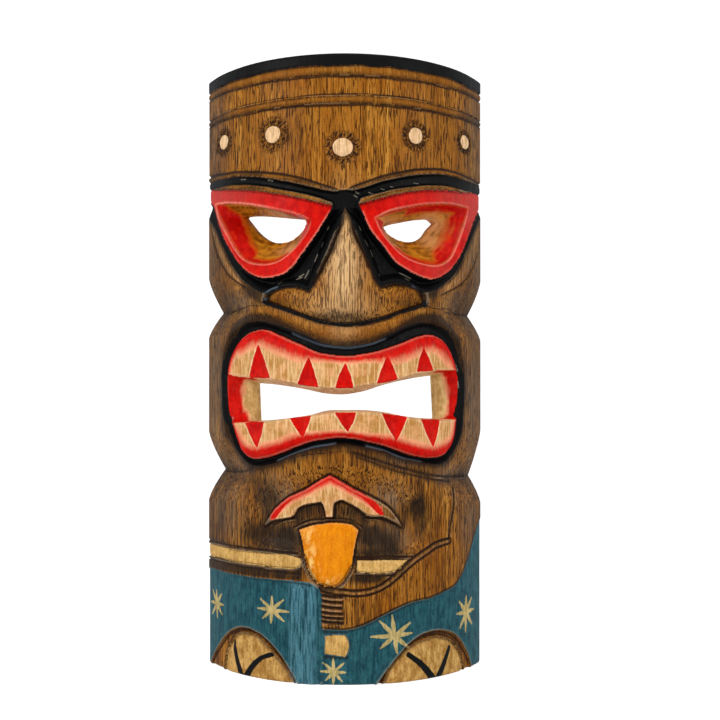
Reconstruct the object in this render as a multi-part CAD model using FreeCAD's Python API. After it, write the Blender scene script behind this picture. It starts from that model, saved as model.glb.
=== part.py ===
"""A carved wooden tiki mask for the wall: one hollowed half log in three tiers, and the
steel ring hanger that is screwed into a pocket in its back.

Millimetres. +Z is up, the face looks along -Y, and the origin is at the middle of the
foot. Outlines are drawn as seen from the front, as (x, height above their own base line).
"""

import FreeCAD
import Part
import math
import os

from FreeCAD import Vector

# ---- the log ----
base_tier_height = 164.0    # foot to the lower waist: the small figure and its robe
mouth_tier_height = 135.0   # lower waist to upper waist
head_tier_height = 201.0    # upper waist to the flat top
mask_half_width = 117.0     # at the flat back
mask_depth = 70.0           # flat back to the crown of the front
waist_depth = 9.5           # how far each waist is cut in at the sides, square to the log
shoulder_height = 25.0      # height of the shoulder on each side of a waist

# ---- the hollow in the back ----
wall = 25.0                 # wood left behind the face
hollow_foot = 30.0          # solid wood below the hollow
hollow_top = 88.0           # solid wood above the hollow
hollow_end_slope = 26.0     # the scoop's ends are gouged in two slopes, this long

# ---- depths of the carving, below the log's own surface ----
band_depth = 2.5            # forehead panels, between the raised bands
brow_groove_depth = 6.0     # black groove along each brow
valley_depth = 13.0         # valleys between the nose and the eyes
frame_depth = 3.0           # face of the raised frame round each eye
nostril_depth = 3.0         # the nostrils lie lower than the ridge of the nose
lip_groove_depth = 10.0     # channel round the lips
lip_depth = 2.0             # crown of the lips
tooth_depth = 4.0           # the gaps between teeth
chin_depth = 7.0            # hollow under the chin that the small figure sits in
rib_depth = 2.5             # notches between the small figure's ribs
rib_notch = 3.0             # width of each notch
robe_depth = 2.0            # face of the painted robe
foot_arch_depth = 4.0       # sunk arch round each foot
foot_depth = 1.0            # the feet themselves
line_width = 2.4            # chiselled lines
line_depth = 3.5
nose_draft = 0.5            # slope of the nose's sides, per millimetre of depth
mug_draft = 0.2             # slope of the mug's sides
under_nose_depth = 5.0      # the moulding between the nose and the lips
edge_fade = 0.8             # how deep a carving still is where it runs out at the sides

# ---- forehead ----
rim_height = 15.5           # plain top band
panel_height = 16.5         # upper forehead panel
hatband_height = 8.0        # raised band between the panels
stud_line = 141.0           # height of the outer studs above the upper waist
stud_ring_width = 6.0       # sunk ring round each stud
stud_ring_depth = 2.0

# ---- mouth ----
mouth_line = 64.0           # height of the mouth's middle above the lower waist
mouth_side_wood = 20.0      # from the mask's side to the mouth's bevelled corner, at the front
mouth_side_bevel = 26.0     # how much narrower the mouth is at the back of the wall

# ---- hanger ----
pocket_half_width = 17.0
pocket_height = 65.0
pocket_depth = 6.0
pocket_margin = 12.0        # wood above the pocket
ring_wire = 2.6             # wire diameter
ring_inner_width = 16.0
ring_reach = 17.5           # pivot to the middle of the wire at the ring's far end
ring_corner = 1.4           # the wire cuts across each of the ring's far corners by this much
ring_tilt = 3.4             # the ring leans out over the strap, in degrees
pivot_clearance = 0.1       # round the wire in the strap's loop
strap_sheet = 0.9           # sheet metal thickness, folded double
strap_width = 12.0
strap_length = 40.0         # pivot to the strap's round end
pivot_below_pocket_top = 22.5
screw_spots = (23.5, 34.0)  # below the pivot
screw_radius = 1.5
screw_clearance = 0.05      # in the strap and in the pilot hole
screw_length = 15.0         # under the head
screw_head_radius = 3.0
screw_head_height = 1.8
screw_slot = 0.9

# ---- worked out from the sizes above ----
lower_waist = base_tier_height
upper_waist = lower_waist + mouth_tier_height
top = upper_waist + head_tier_height
front_y = -mask_depth / 2
back_y = mask_depth / 2
log_radius = (mask_half_width ** 2 + mask_depth ** 2) / (2 * mask_depth)
axis_y = front_y + log_radius
hollow_radius = log_radius - wall
mouth_side_rim = mask_half_width - mouth_side_wood
mouth_side_back = mouth_side_rim - mouth_side_bevel
clear = 2.0                 # how far a cutting tool reaches past the wood
drawn_half_width = 117.0    # the outlines are drawn on a mask this wide to each side of its middle


# ---- drawing ----
def edge_through(points):
    """A straight edge through two points, a smooth one through more."""
    if len(points) == 2:
        return Part.LineSegment(*points).toShape()
    curve = Part.BSplineCurve()
    curve.interpolate(points)
    return curve.toShape()


def grown(runs, by):
    """The runs of a closed outline, each point moved outwards by a distance."""
    loop = [p for run in runs for p in run[:-1]]
    area = sum(a[0] * b[1] - b[0] * a[1] for a, b in zip(loop, loop[1:] + loop[:1]))
    side = by if area > 0 else -by
    moved = {}
    for before, here, after in zip(loop[-1:] + loop[:-1], loop, loop[1:] + loop[:1]):
        legs = [(here[0] - before[0], here[1] - before[1]), (after[0] - here[0], after[1] - here[1])]
        units = [(u / math.hypot(u, w), w / math.hypot(u, w)) for u, w in legs]
        normal = (units[0][1] + units[1][1], -units[0][0] - units[1][0])
        size = math.hypot(*normal)
        mitre = max(size / 2, 0.45)   # a sharp corner moves by at most a little over twice
        moved[here] = (here[0] + side * normal[0] / size / mitre,
                       here[1] + side * normal[1] / size / mitre)
    return [[moved[p] for p in run] for run in runs]


def mirrored(runs):
    return [[(-x, z) for x, z in run] for run in runs]


def across(x):
    """Where a drawn distance from the middle lies on this mask: the carving spreads with it."""
    return x * mask_half_width / drawn_half_width


def wire_at(runs, base, y):
    edges = [edge_through([Vector(across(x), y, base + z) for x, z in run]) for run in runs]
    return Part.Wire(edges)


def prism(runs, base, slope=0.0):
    """A solid through the whole depth of the log. A slope makes it narrower towards the
    back by that much per millimetre, and leaves the outline true at the log's front."""
    near, far = front_y - clear, back_y + clear
    if not slope:
        return Part.Face(wire_at(runs, base, near)).extrude(Vector(0, far - near, 0))
    narrow = grown(runs, -slope * (far - near))
    return Part.makeLoft([wire_at(runs, base, near), wire_at(narrow, base, far)], True, True)


def floor_radius(centre, edge):
    chord, rise = mask_half_width - edge, mask_depth - centre
    return (chord ** 2 + rise ** 2) / (2 * rise)


def floor(centre, edge=edge_fade):
    """What stays under a carving: an upright cylinder that lies a given depth below the
    log's surface at its crown, and another depth in from its two side edges."""
    radius = floor_radius(centre, edge)
    foot = Vector(0, front_y + centre + radius, -clear)
    return Part.makeCylinder(radius, top + 2 * clear, foot)


def floor_y(x, centre, edge=edge_fade):
    """Where such a floor lies at a distance from the middle."""
    radius = floor_radius(centre, edge)
    return front_y + centre + radius - math.sqrt(radius ** 2 - x ** 2)


def sunk(shape, centre, edge=edge_fade):
    """The part of a prism that a carver takes away to reach a floor."""
    return shape.cut(floor(centre, edge))


def log_y(x, below=0.0):
    """Where the log's surface, or one below it, lies at a distance from the middle."""
    return axis_y - math.sqrt((log_radius - below) ** 2 - x ** 2)


# ---- the blank: a turned log with two waists, split at the back and hollowed ----
def shoulder(z_full, z_waist):
    """Corners of the profile that leaves the log and runs in to a waist: the two slopes that
    a carver cuts there, with their corners on one round that starts upright."""
    rise = z_waist - z_full
    bend = (rise ** 2 + waist_depth ** 2) / (2 * waist_depth)
    turn = math.asin(rise / bend) / 2
    middle = (log_radius - bend * (1 - math.cos(turn)), z_full + bend * math.sin(turn))
    return [(log_radius, z_full), middle, (log_radius - waist_depth, z_waist)]


def turned(profile):
    """A solid turned about the log's axis from the corners of its profile: radius, height."""
    loop = [Vector(radius, axis_y, z) for radius, z in profile]
    face = Part.Face(Part.makePolygon(loop + loop[:1]))
    return face.revolve(Vector(0, axis_y, 0), Vector(0, 0, 1), 360)


def split_log(solid):
    """The part of a turned solid in front of the mask's flat back."""
    reach = log_radius + clear
    return solid.common(Part.makeBox(2 * reach, reach, top, Vector(-reach, back_y - reach, 0)))


def blank():
    """The log with its two waists. The middle of each waist is left standing, because the
    nose with its moulding and the small figure's roof are carved from it."""
    profile = [(0, 0), (log_radius, 0)]
    for waist in (lower_waist, upper_waist):
        profile += shoulder(waist - shoulder_height, waist)
        profile += shoulder(waist + shoulder_height, waist)[-2::-1]
    profile += [(log_radius, top), (0, top)]
    log = Part.makeCylinder(log_radius, top, Vector(0, axis_y, 0))
    bridges = [prism([WAIST_BRIDGE], waist) for waist in (lower_waist, upper_waist)]
    return split_log(turned(profile).fuse([log.common(bridge) for bridge in bridges]))


def hollow():
    """The scoop in the back, turned about the same axis as the log. Each end is two slopes."""
    run, out = hollow_end_slope, hollow_radius
    low, high = hollow_foot, top - hollow_top
    scoop = turned([(0, low), (out - run, low), (out - run / 3, low + run / 3), (out, low + run),
                    (out, high - run), (out - run / 3, high - run / 3), (out - run, high), (0, high)])
    out_at_back = math.sqrt(out ** 2 - (back_y - axis_y) ** 2)
    box = Part.makeBox(2 * out_at_back, mask_depth + clear, top, Vector(-out_at_back, front_y, 0))
    return scoop.common(box)


# ---- both waists: heights above the waist ----
WAIST_BRIDGE = [(-72, -2), (-60, 25), (60, 25), (72, -2), (60, -25), (-60, -25), (-72, -2)]


# ---- head tier: heights above the upper waist ----
BROW_LEFT = [[(-130, 119), (-100, 113), (-60, 109.5), (-20, 97.5), (-1, 91)],
             [(-1, 91), (-2, 85)],
             [(-2, 85), (-20, 87.5), (-60, 98.5), (-100, 105.5), (-130, 109)],
             [(-130, 109), (-130, 119)]]
BROW_RIGHT = [[(-1, 91), (30, 102), (60, 108.5), (100, 111), (130, 110)],
              [(130, 110), (130, 102)],
              [(130, 102), (100, 105), (60, 101.5), (30, 96.5), (-2, 85)],
              [(-2, 85), (-1, 91)]]
PANEL_FOOT = [[(-130, 123), (-80, 116.5), (-50, 111), (-20, 101.5), (-2, 94)],
              [(-2, 94), (20, 102.5), (50, 111.5), (75, 115.5), (130, 114)]]
EYE_VALLEY = [[(-118, 98), (118, 98)],
              [(118, 98), (112, 72), (97, 34), (82, 16), (66, 11)],
              [(66, 11), (50, 18), (36, 19), (24, 10)], [(24, 10), (-24, 10)],
              [(-24, 10), (-36, 17), (-50, 17.5), (-66, 11)],
              [(-66, 11), (-82, 15), (-99, 35), (-113, 74), (-118, 98)]]
EYE_FRAME_LEFT = [[(-10, 81.5), (-60, 93), (-100, 102.5), (-130, 108)],
                  [(-130, 108), (-130, 103)],
                  [(-130, 103), (-113, 91), (-103, 66), (-88, 40), (-66, 26),
                   (-46, 32), (-26, 54), (-10, 81.5)]]
SOCKET_RIM_LEFT = [(-109, 91), (-80, 86), (-50, 77), (-27, 69.5), (-31, 60), (-44, 45),
                   (-55, 38.5), (-68, 36.5), (-82, 40), (-91, 49), (-99, 65), (-107, 82)]
EYE_HOLE_LEFT = [(-80, 82), (-68, 81), (-50, 77), (-29.5, 73), (-31.5, 67.5), (-37, 61),
                 (-43, 57.5), (-52, 56.8), (-60, 59), (-67, 64), (-73, 70.5), (-78, 77)]
SOCKET_RIM_RIGHT = [(104, 88.5), (80, 87.5), (50, 81.5), (25, 72), (31, 60), (44, 46),
                    (56, 38.5), (70, 36), (82, 39), (91, 51), (97, 65), (102, 80)]
EYE_HOLE_RIGHT = [(72, 76), (64, 77.5), (46, 73.5), (30.5, 68), (33, 64), (37, 60.5),
                  (44, 58), (51, 57.8), (57.5, 59.7), (62.5, 63), (66.5, 68.5), (70, 73)]
NOSE = [[(0, 82), (-9, 54), (-21, 28), (-27, 14)], [(-27, 14), (-20, 0)], [(-20, 0), (20, 0)],
        [(20, 0), (28, 14)], [(28, 14), (22, 30), (10, 56), (0, 82)]]
NOSTRILS = [[(-66, 12), (-66, 6), (-40, -3), (-24, -11)], [(-24, -11), (-24, 22)],
            [(-24, 22), (-66, 22)], [(-66, 22), (-66, 12)]]
UNDER_NOSE = [[(-72, 5), (-61, 5), (-40, -3), (-18, -12), (0, -14.4), (18, -12.5), (40, -4.5),
               (72, 5)],
              [(72, 5), (84, -10)],
              [(84, -10), (66, -14), (35, -24), (0, -31), (-35, -24), (-66, -14), (-84, -10)],
              [(-84, -10), (-72, 5)]]

# ---- mouth tier: heights above the mouth's middle ----
MOUTH_CHANNEL = [[(-105, 0), (-103, 35), (-88, 56), (-66, 60), (-35, 50), (0, 43),
                  (35, 50), (66, 60), (88, 56), (103, 35), (105, 0)],
                 [(105, 0), (101, -36), (84, -55), (60, -55), (30, -43), (0, -39),
                  (-30, -43), (-60, -55), (-84, -55), (-101, -36), (-105, 0)]]
LIPS = [[(-98, 0), (-97, 34), (-84, 51), (-66, 53), (-38, 40), (0, 33),
         (38, 40), (66, 51), (82, 47), (91, 30), (95, 0)],
        [(95, 0), (92, -30), (84, -46), (66, -48.5), (30, -38), (0, -33),
         (-30, -38), (-62, -49), (-84, -46), (-94, -26), (-98, 0)]]
MOUTH_FRONT = [[(-105, 17.5), (-50, 15), (-20, 8), (5, 8), (40, 13.5), (68, 21.5), (105, 22.5)],
               [(105, 22.5), (105, -17.5)],
               [(105, -17.5), (55, -16), (25, -11), (-15, -11), (-45, -15.5), (-105, -21)],
               [(-105, -21), (-105, 17.5)]]
MOUTH_BACK = [[(-105, 12.5), (-50, 10), (-20, 4.5), (5, 3), (40, 11), (68, 17), (105, 18)],
              [(105, 18), (105, -16.5)],
              [(105, -16.5), (55, -15), (25, -10.5), (-15, -10.5), (-45, -14.5), (-105, -19)],
              [(-105, -19), (-105, 12.5)]]
# Each gap between teeth: its point, then the two ends of its wide side.
UPPER_GAPS = [((-70, 42), (-78, 15), (-61, 14)), ((-28, 32), (-37, 10), (-22, 6)),
              ((0, 26.5), (-7.5, 6), (7.5, 6)), ((34, 32), (26, 8), (41, 11.5)),
              ((63, 40), (56, 17), (71, 20))]
LOWER_GAPS = [((-71, -39), (-81, -18), (-66, -17)), ((-33, -31), (-44, -13), (-27, -12)),
              ((2, -25.5), (-7.5, -9.5), (9, -9.5)), ((40, -34), (30, -9), (49, -13)),
              ((71, -38.5), (61, -15), (77, -15.5))]

# ---- base tier: heights above the foot ----
CHIN_HOLLOW = [[(-78, 104), (-80, 130), (-62, 156), (-30, 167), (0, 169), (30, 165),
                (52, 152), (62, 128), (56, 100)],
               [(56, 100), (40, 80), (10, 72)],
               [(10, 72), (-24, 78), (-40, 104)],
               [(-40, 104), (-78, 104)]]
ROOF = [[(-62, 128), (-50, 143), (-30, 153.5), (-11, 166)],
        [(-11, 166), (8, 155), (26, 145), (38, 130)],
        [(38, 130), (17, 133)],
        [(17, 133), (8, 141), (-4, 145), (-10, 143)],
        [(-10, 143), (-10, 132), (-16, 132)],
        [(-16, 132), (-19, 144), (-32, 141), (-44, 132)],
        [(-44, 132), (-62, 128)]]
MUG = [[(-40, 123), (-28, 129), (-12, 132), (3, 129), (13, 122)],
       [(13, 122), (8, 106), (2, 89), (-8, 77), (-14, 76), (-22, 79), (-31, 95), (-40, 123)]]
ARM_LEFT = [[(-130, 106), (-80, 104), (-40, 102)], [(-40, 102), (-32, 97), (-40, 91)],
            [(-40, 91), (-80, 91.5), (-130, 92)], [(-130, 92), (-130, 106)]]
ARM_RIGHT = [[(6, 100), (51, 98)], [(51, 98), (42, 88)], [(42, 88), (2, 88.5)],
             [(2, 88.5), (6, 100)]]
ROBE_LEFT = [[(-130, 81.5), (-38, 80.5), (-20, 76)], [(-20, 76), (-19, -10)],
             [(-19, -10), (-130, -10)], [(-130, -10), (-130, 81.5)]]
ROBE_RIGHT = [[(-19, 41), (0, 44), (25, 52.5), (52, 63), (80, 69), (97, 82), (110, 108),
               (130, 150)],
              [(130, 150), (130, -10)], [(130, -10), (-19, -10)], [(-19, -10), (-19, 41)]]
FOOT_ARCH_LEFT = [[(-118, -10), (-117, 0), (-105, 25), (-80, 40), (-58, 28), (-39, 0), (-33, -10)],
                  [(-33, -10), (-118, -10)]]
FOOT_LEFT = [[(-103, -10), (-102, 0), (-97, 23), (-80, 35), (-60, 23), (-43, 0), (-37, -10)],
             [(-37, -10), (-103, -10)]]
FOOT_ARCH_RIGHT = [[(17, -10), (24, 0), (46, 26), (72, 39), (94, 28), (107, 2), (110, -10)],
                   [(110, -10), (17, -10)]]
FOOT_RIGHT = [[(21, -10), (29, 0), (48, 25), (70, 34.5), (86, 24), (98, 0), (100, -10)],
              [(100, -10), (21, -10)]]
SASH = [[(-15.5, 25), (-16, 39.5)], [(-16, 39.5), (0, 39.5)], [(0, 39.5), (3, 33), (1, 23)],
        [(1, 23), (-15.5, 25)]]
BODY_LINE = [(91, 153), (88, 132), (86, 112), (72, 107), (52, 92), (30, 77), (10, 72), (-18, 77)]
CHIN_LINE = [(8, 178), (40, 171), (72, 161), (106, 161)]
WRIST_LINE = [(-104, 87), (-80, 87), (-36, 87)]
RIB_HEIGHTS = (71.0, 65.0, 59.0, 53.0, 47.0)
RIB_ENDS = (-19.0, -3.5)

# Studs on the forehead: x, height against the line of studs, radius.
STUDS = [(-102, 1.5, 6.0), (-60, -1.0, 7.0), (-1.5, -15.0, 8.0), (58, -2.5, 6.5), (100.5, 1.0, 6.0)]


def chiselled(points, base, width=line_width):
    """A line cut with a chisel: a narrow closed outline along a path, pointed at its ends."""
    sides = []
    for side in (1, -1):
        row = []
        for i, (x, z) in enumerate(points[1:-1], 1):
            dx, dz = points[i + 1][0] - points[i - 1][0], points[i + 1][1] - points[i - 1][1]
            size = math.hypot(dx, dz) / (side * width / 2)
            row.append((x - dz / size, z + dx / size))
        sides.append([points[0], *row, points[-1]])
    return prism([sides[0], sides[1][::-1]], base)


def stud_ring(x, z, radius):
    """The V-shaped ring gouged round a stud, square to the panel that the stud stands in.
    The tool is half as tall again as the groove."""
    panel = Vector(x, floor_y(x, band_depth), z)
    outward = (panel - Vector(0, front_y + band_depth + floor_radius(band_depth, edge_fade), z)).normalize()
    foot = panel - outward * stud_ring_depth
    half = stud_ring_width / 2
    tall, spread, middle = 1.5 * stud_ring_depth, 1.5 * half, radius + half
    outer = Part.makeCone(middle, middle + spread, tall, foot, outward)
    return outer.cut(Part.makeCone(middle, middle - spread, tall, foot, outward))


def forehead_tools():
    """The two sunk panels, the ring round each stud and the groove along each brow."""
    upper_foot = top - rim_height - panel_height
    band_foot = upper_foot - hatband_height - upper_waist
    span = mask_half_width + clear
    corner = Vector(-span, front_y - clear, upper_foot)
    upper = Part.makeBox(2 * span, mask_depth, panel_height, corner)
    left_foot, right_foot = PANEL_FOOT
    right, left = right_foot[-1], left_foot[0]
    top_right, top_left = (right[0], band_foot), (left[0], band_foot)
    lower = prism([left_foot, right_foot, [right, top_right], [top_right, top_left],
                   [top_left, left]], upper_waist)
    rings = [stud_ring(across(x), upper_waist + stud_line + rise, radius)
             for x, rise, radius in STUDS]
    brows = [sunk(prism(runs, upper_waist), brow_groove_depth) for runs in (BROW_LEFT, BROW_RIGHT)]
    return [sunk(upper, band_depth), sunk(lower, band_depth), *rings, *brows]


def face_tools():
    """The valleys round the eyes, which leave the eye frames and the nose standing, and the
    faces of the frames, the nostrils and the moulding under the nose."""
    frames = [prism(EYE_FRAME_LEFT, upper_waist), prism(mirrored(EYE_FRAME_LEFT), upper_waist)]
    nose = prism(NOSE, upper_waist, -nose_draft)
    nostrils = [prism(NOSTRILS, upper_waist), prism(mirrored(NOSTRILS), upper_waist)]
    valley = prism(EYE_VALLEY, upper_waist).cut([*frames, nose])
    return [sunk(valley, valley_depth, 3.0),
            *[sunk(frame, frame_depth) for frame in frames],
            *[sunk(nostril.cut(nose), nostril_depth) for nostril in nostrils],
            sunk(prism(UNDER_NOSE, upper_waist), under_nose_depth)]


def socket(rim, hole):
    """An eye socket. Straight rulings run from a point of the rim, on the frame's face, to
    the matching point of the hole, on a flat just inside the hollow; then the hole goes on."""
    rim, hole = ([(across(x), z) for x, z in loop] for loop in (rim, hole))
    bearing = math.asin(sum(x for x, _ in hole) / len(hole) / hollow_radius)
    outward = Vector(math.sin(bearing), -math.cos(bearing), 0)
    centre = Vector(0, axis_y, 0)
    swing = max(abs(math.asin(u / hollow_radius) - bearing) for u, _ in hole)
    near, far = log_radius + clear, hollow_radius * math.cos(swing) - clear
    front_ring, back_ring = [], []
    for (x, z), (u, w) in zip(rim, hole):
        start = Vector(x, log_y(x, frame_depth), upper_waist + z)
        stop = Vector(u, axis_y + (far - u * outward.x) / outward.y, upper_waist + w)
        reach = (near - far) / ((start - centre).dot(outward) - far)
        front_ring.append(stop + (start - stop) * reach)
        back_ring.append(stop)
    wires = [Part.makePolygon(row + row[:1]) for row in (front_ring, back_ring)]
    return Part.makeLoft(wires, True, True)


def gap(corners, base):
    """The sunk, three-sided gap between two teeth, cut square to the log. It is half as wide
    at its bottom as on the lips' face, and the tool goes on as far again past that face."""
    corners = [(across(x), z) for x, z in corners]
    x, z = (sum(side) / 3 for side in zip(*corners))
    foot = Vector(x, log_y(x, lip_depth + tooth_depth), base + z)
    outward = Vector(x, log_y(x) - axis_y, 0).normalize()
    wires = []
    for share, lift in ((0.5, 0.0), (1.5, 2 * tooth_depth)):
        loop = []
        for u, w in corners:
            on_face = Vector(u, log_y(u, lip_depth), base + w)
            flat = on_face - outward * (on_face - foot).dot(outward)
            loop.append(foot + (flat - foot) * share + outward * lift)
        wires.append(Part.makePolygon(loop + loop[:1]))
    return Part.makeLoft(wires, True, True)


def mouth_tools():
    """The channel round the lips, the see-through slot with bevelled corners, and the gaps."""
    base = lower_waist + mouth_line
    channel = prism(MOUTH_CHANNEL, base).cut(prism(LIPS, base))
    slot = Part.makeLoft([wire_at(MOUTH_FRONT, base, front_y - clear),
                          wire_at(MOUTH_BACK, base, log_y(0, wall) + mask_depth)], True, True)
    rim, back = mouth_side_rim, mouth_side_back
    plan = [(-rim, front_y - clear), (-rim, log_y(rim, lip_depth)), (-back, log_y(back, wall)),
            (-back, back_y + clear), (back, back_y + clear), (back, log_y(back, wall)),
            (rim, log_y(rim, lip_depth)), (rim, front_y - clear)]
    low = base - 3 * mouth_line / 4
    loop = [Vector(x, y, low) for x, y in plan]
    column = Part.Face(Part.makePolygon(loop + loop[:1])).extrude(Vector(0, 0, mouth_line * 3 / 2))
    tools = [sunk(channel, lip_groove_depth, 7.0), sunk(prism(LIPS, base), lip_depth),
             slot.common(column)]
    return tools + [gap(corners, base) for corners in UPPER_GAPS + LOWER_GAPS]


def base_tools():
    """The hollow round the small figure, the robe, the feet, and the chiselled lines."""
    figure = [prism(runs, 0) for runs in (ROOF, ARM_LEFT, ARM_RIGHT)]
    figure.append(prism(MUG, 0, -mug_draft))
    chin = prism(CHIN_HOLLOW, 0).cut(figure)
    robes = [prism(ROBE_LEFT, 0), prism(ROBE_RIGHT, 0)]
    arches = [(FOOT_ARCH_LEFT, FOOT_LEFT), (FOOT_ARCH_RIGHT, FOOT_RIGHT)]
    tools = [sunk(chin, chin_depth, 4.0)]
    for robe in robes:
        for arch, _ in arches:
            robe = robe.cut(prism(arch, 0))
        tools.append(sunk(robe.cut(prism(SASH, 0)), robe_depth))
    for arch, foot in arches:
        tools.append(sunk(prism(arch, 0).cut(prism(foot, 0)), foot_arch_depth, 2.0))
        tools.append(sunk(prism(foot, 0), foot_depth))
    for path in (BODY_LINE, CHIN_LINE, WRIST_LINE):
        tools.append(sunk(chiselled(path, 0), line_depth, 1.5))
    for height in RIB_HEIGHTS:
        notch = [(RIB_ENDS[0], height), (sum(RIB_ENDS) / 2, height), (RIB_ENDS[1], height)]
        tools.append(sunk(chiselled(notch, 0, rib_notch), rib_depth))
    return tools


# ---- hanger: placed from the pocket ----
pocket_top = top - pocket_margin
pad_y = back_y - pocket_depth
wire_radius = ring_wire / 2
loop_inner = wire_radius + pivot_clearance
loop_outer = loop_inner + strap_sheet
pivot_y = pad_y + loop_outer
pivot_z = pocket_top - pivot_below_pocket_top
strap_face_y = pad_y + 2 * strap_sheet


def pocket():
    corner = Vector(-pocket_half_width, pad_y, pocket_top - pocket_height)
    return Part.makeBox(2 * pocket_half_width, pocket_depth + clear, pocket_height, corner)


def hanger_strap():
    """A strip of sheet folded round the ring's bar and pressed flat, with two screw holes."""
    half = strap_width / 2
    along = Vector(1, 0, 0)
    loop = Part.makeCylinder(loop_outer, strap_width, Vector(-half, pivot_y, pivot_z), along)
    end_z = pivot_z - strap_length + half
    plate = Part.makeBox(strap_width, 2 * strap_sheet, pivot_z - end_z, Vector(-half, pad_y, end_z))
    tip = Part.makeCylinder(half, 2 * strap_sheet, Vector(0, pad_y, end_z), Vector(0, 1, 0))
    neck_z = pivot_z - 2.4 * loop_outer
    neck = [Vector(-half, y, z) for y, z in (
        (pad_y, pivot_z), (pivot_y + loop_outer * 0.8, pivot_z - loop_outer * 0.6),
        (strap_face_y, neck_z), (pad_y, neck_z))]
    web = Part.Face(Part.makePolygon(neck + neck[:1])).extrude(Vector(strap_width, 0, 0))
    strap = loop.fuse([plate, tip, web]).removeSplitter()
    bore_foot = Vector(-half - clear / 2, pivot_y, pivot_z)
    bore = Part.makeCylinder(loop_inner, strap_width + clear, bore_foot, along)
    holes = [screw_hole(pad_y - clear, 2 * strap_sheet + 2 * clear, spot) for spot in screw_spots]
    return strap.cut([bore, *holes])


def screw_hole(start_y, length, spot):
    radius = screw_radius + screw_clearance
    return Part.makeCylinder(radius, length, Vector(0, start_y, pivot_z - spot), Vector(0, 1, 0))


def hanger_screw(spot):
    """A slotted wood screw with a cheese head, a straight shank and a point."""
    head, shank = screw_head_radius, screw_radius
    point = 2 * shank
    tip = Part.makeCone(0, shank, point, Vector(0, 0, -screw_length))
    body = Part.makeCylinder(shank, screw_length - point, Vector(0, 0, point - screw_length))
    cap = Part.makeCylinder(head, screw_head_height)
    slot = Part.makeBox(2 * head, screw_slot, screw_head_height,
                        Vector(-head, -screw_slot / 2, screw_head_height / 2))
    screw = tip.fuse([body, cap]).cut(slot)
    screw.rotate(Vector(), Vector(1, 0, 0), -90)
    screw.translate(Vector(0, strap_face_y, pivot_z - spot))
    return screw


def hanger_ring():
    """The square ring: a straight bar in the strap's loop, and one round wire bent round it,
    which cuts across the two far corners."""
    side, cut, foot = ring_inner_width / 2 + wire_radius, ring_corner, -ring_reach
    bar_half = side + wire_radius
    bar = Part.makeCylinder(wire_radius, 2 * bar_half, Vector(-bar_half, 0, 0), Vector(1, 0, 0))
    path = Part.makePolygon([Vector(x, 0, z) for x, z in (
        (-side, 0), (-side, foot + cut), (cut - side, foot),
        (side - cut, foot), (side, foot + cut), (side, 0))])
    section = Part.Wire(Part.Circle(Vector(-side, 0, 0), Vector(0, 0, 1), wire_radius).toShape())
    ring = path.makePipeShell([section], True, False, 1).fuse(bar).removeSplitter()
    ring.rotate(Vector(), Vector(1, 0, 0), ring_tilt)
    ring.translate(Vector(0, pivot_y, pivot_z))
    return ring


# ---- the mask ----
def carved_mask():
    wood = blank().cut([hollow(), pocket()])
    for tool in [*forehead_tools(), *face_tools(), *mouth_tools(), *base_tools()]:
        wood = wood.cut(tool)
    wood = wood.cut([socket(SOCKET_RIM_LEFT, EYE_HOLE_LEFT), socket(SOCKET_RIM_RIGHT, EYE_HOLE_RIGHT)])
    pilots = [screw_hole(strap_face_y - screw_length - screw_clearance, screw_length, spot)
              for spot in screw_spots]
    return wood.cut(pilots)


os.makedirs("parts", exist_ok=True)
pieces = {
    "carved_mask": carved_mask(),
    "hanger_strap": hanger_strap(),
    "hanger_ring": hanger_ring(),
    "upper_strap_screw": hanger_screw(screw_spots[0]),
    "lower_strap_screw": hanger_screw(screw_spots[1]),
}
for name, shape in pieces.items():
    shape.exportStep(f"parts/{name}.step")
    solids = [round(s.Volume, 1) for s in shape.Solids]
    box = shape.BoundBox
    print(name, shape.isValid(), "solids", solids, "faces", len(shape.Faces),
          "from", [round(v, 1) for v in (box.XMin, box.YMin, box.ZMin)],
          "to", [round(v, 1) for v in (box.XMax, box.YMax, box.ZMax)])
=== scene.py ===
"""The looks of a carved, stained and painted tiki mask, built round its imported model.

The mask is one dense mesh over the log's face: every carving is a depth below the log's
surface, worked out from outlines drawn in millimetres as seen from the front, (x, height).
Paint follows the same outlines: each colour has a signed distance to its edge, positive
inside, kept on the mesh and turned into a crisp brushed edge by the shader.
"""

import math
from functools import reduce

import bpy
import numpy as np
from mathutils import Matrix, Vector


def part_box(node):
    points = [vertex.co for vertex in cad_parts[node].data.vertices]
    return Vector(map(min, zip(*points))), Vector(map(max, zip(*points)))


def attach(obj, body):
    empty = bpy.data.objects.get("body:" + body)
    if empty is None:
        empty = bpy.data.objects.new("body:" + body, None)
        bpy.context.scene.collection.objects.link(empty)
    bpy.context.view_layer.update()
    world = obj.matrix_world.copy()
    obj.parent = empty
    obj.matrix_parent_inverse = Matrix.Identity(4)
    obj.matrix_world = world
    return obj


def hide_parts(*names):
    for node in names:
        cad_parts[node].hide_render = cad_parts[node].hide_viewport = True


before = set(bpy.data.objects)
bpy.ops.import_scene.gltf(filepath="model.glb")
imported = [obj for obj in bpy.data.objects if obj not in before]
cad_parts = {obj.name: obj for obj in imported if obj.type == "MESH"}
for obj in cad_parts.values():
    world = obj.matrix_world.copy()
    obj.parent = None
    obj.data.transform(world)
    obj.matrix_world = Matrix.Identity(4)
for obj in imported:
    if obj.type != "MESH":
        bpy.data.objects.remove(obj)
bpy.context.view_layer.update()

MM = 0.001

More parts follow.
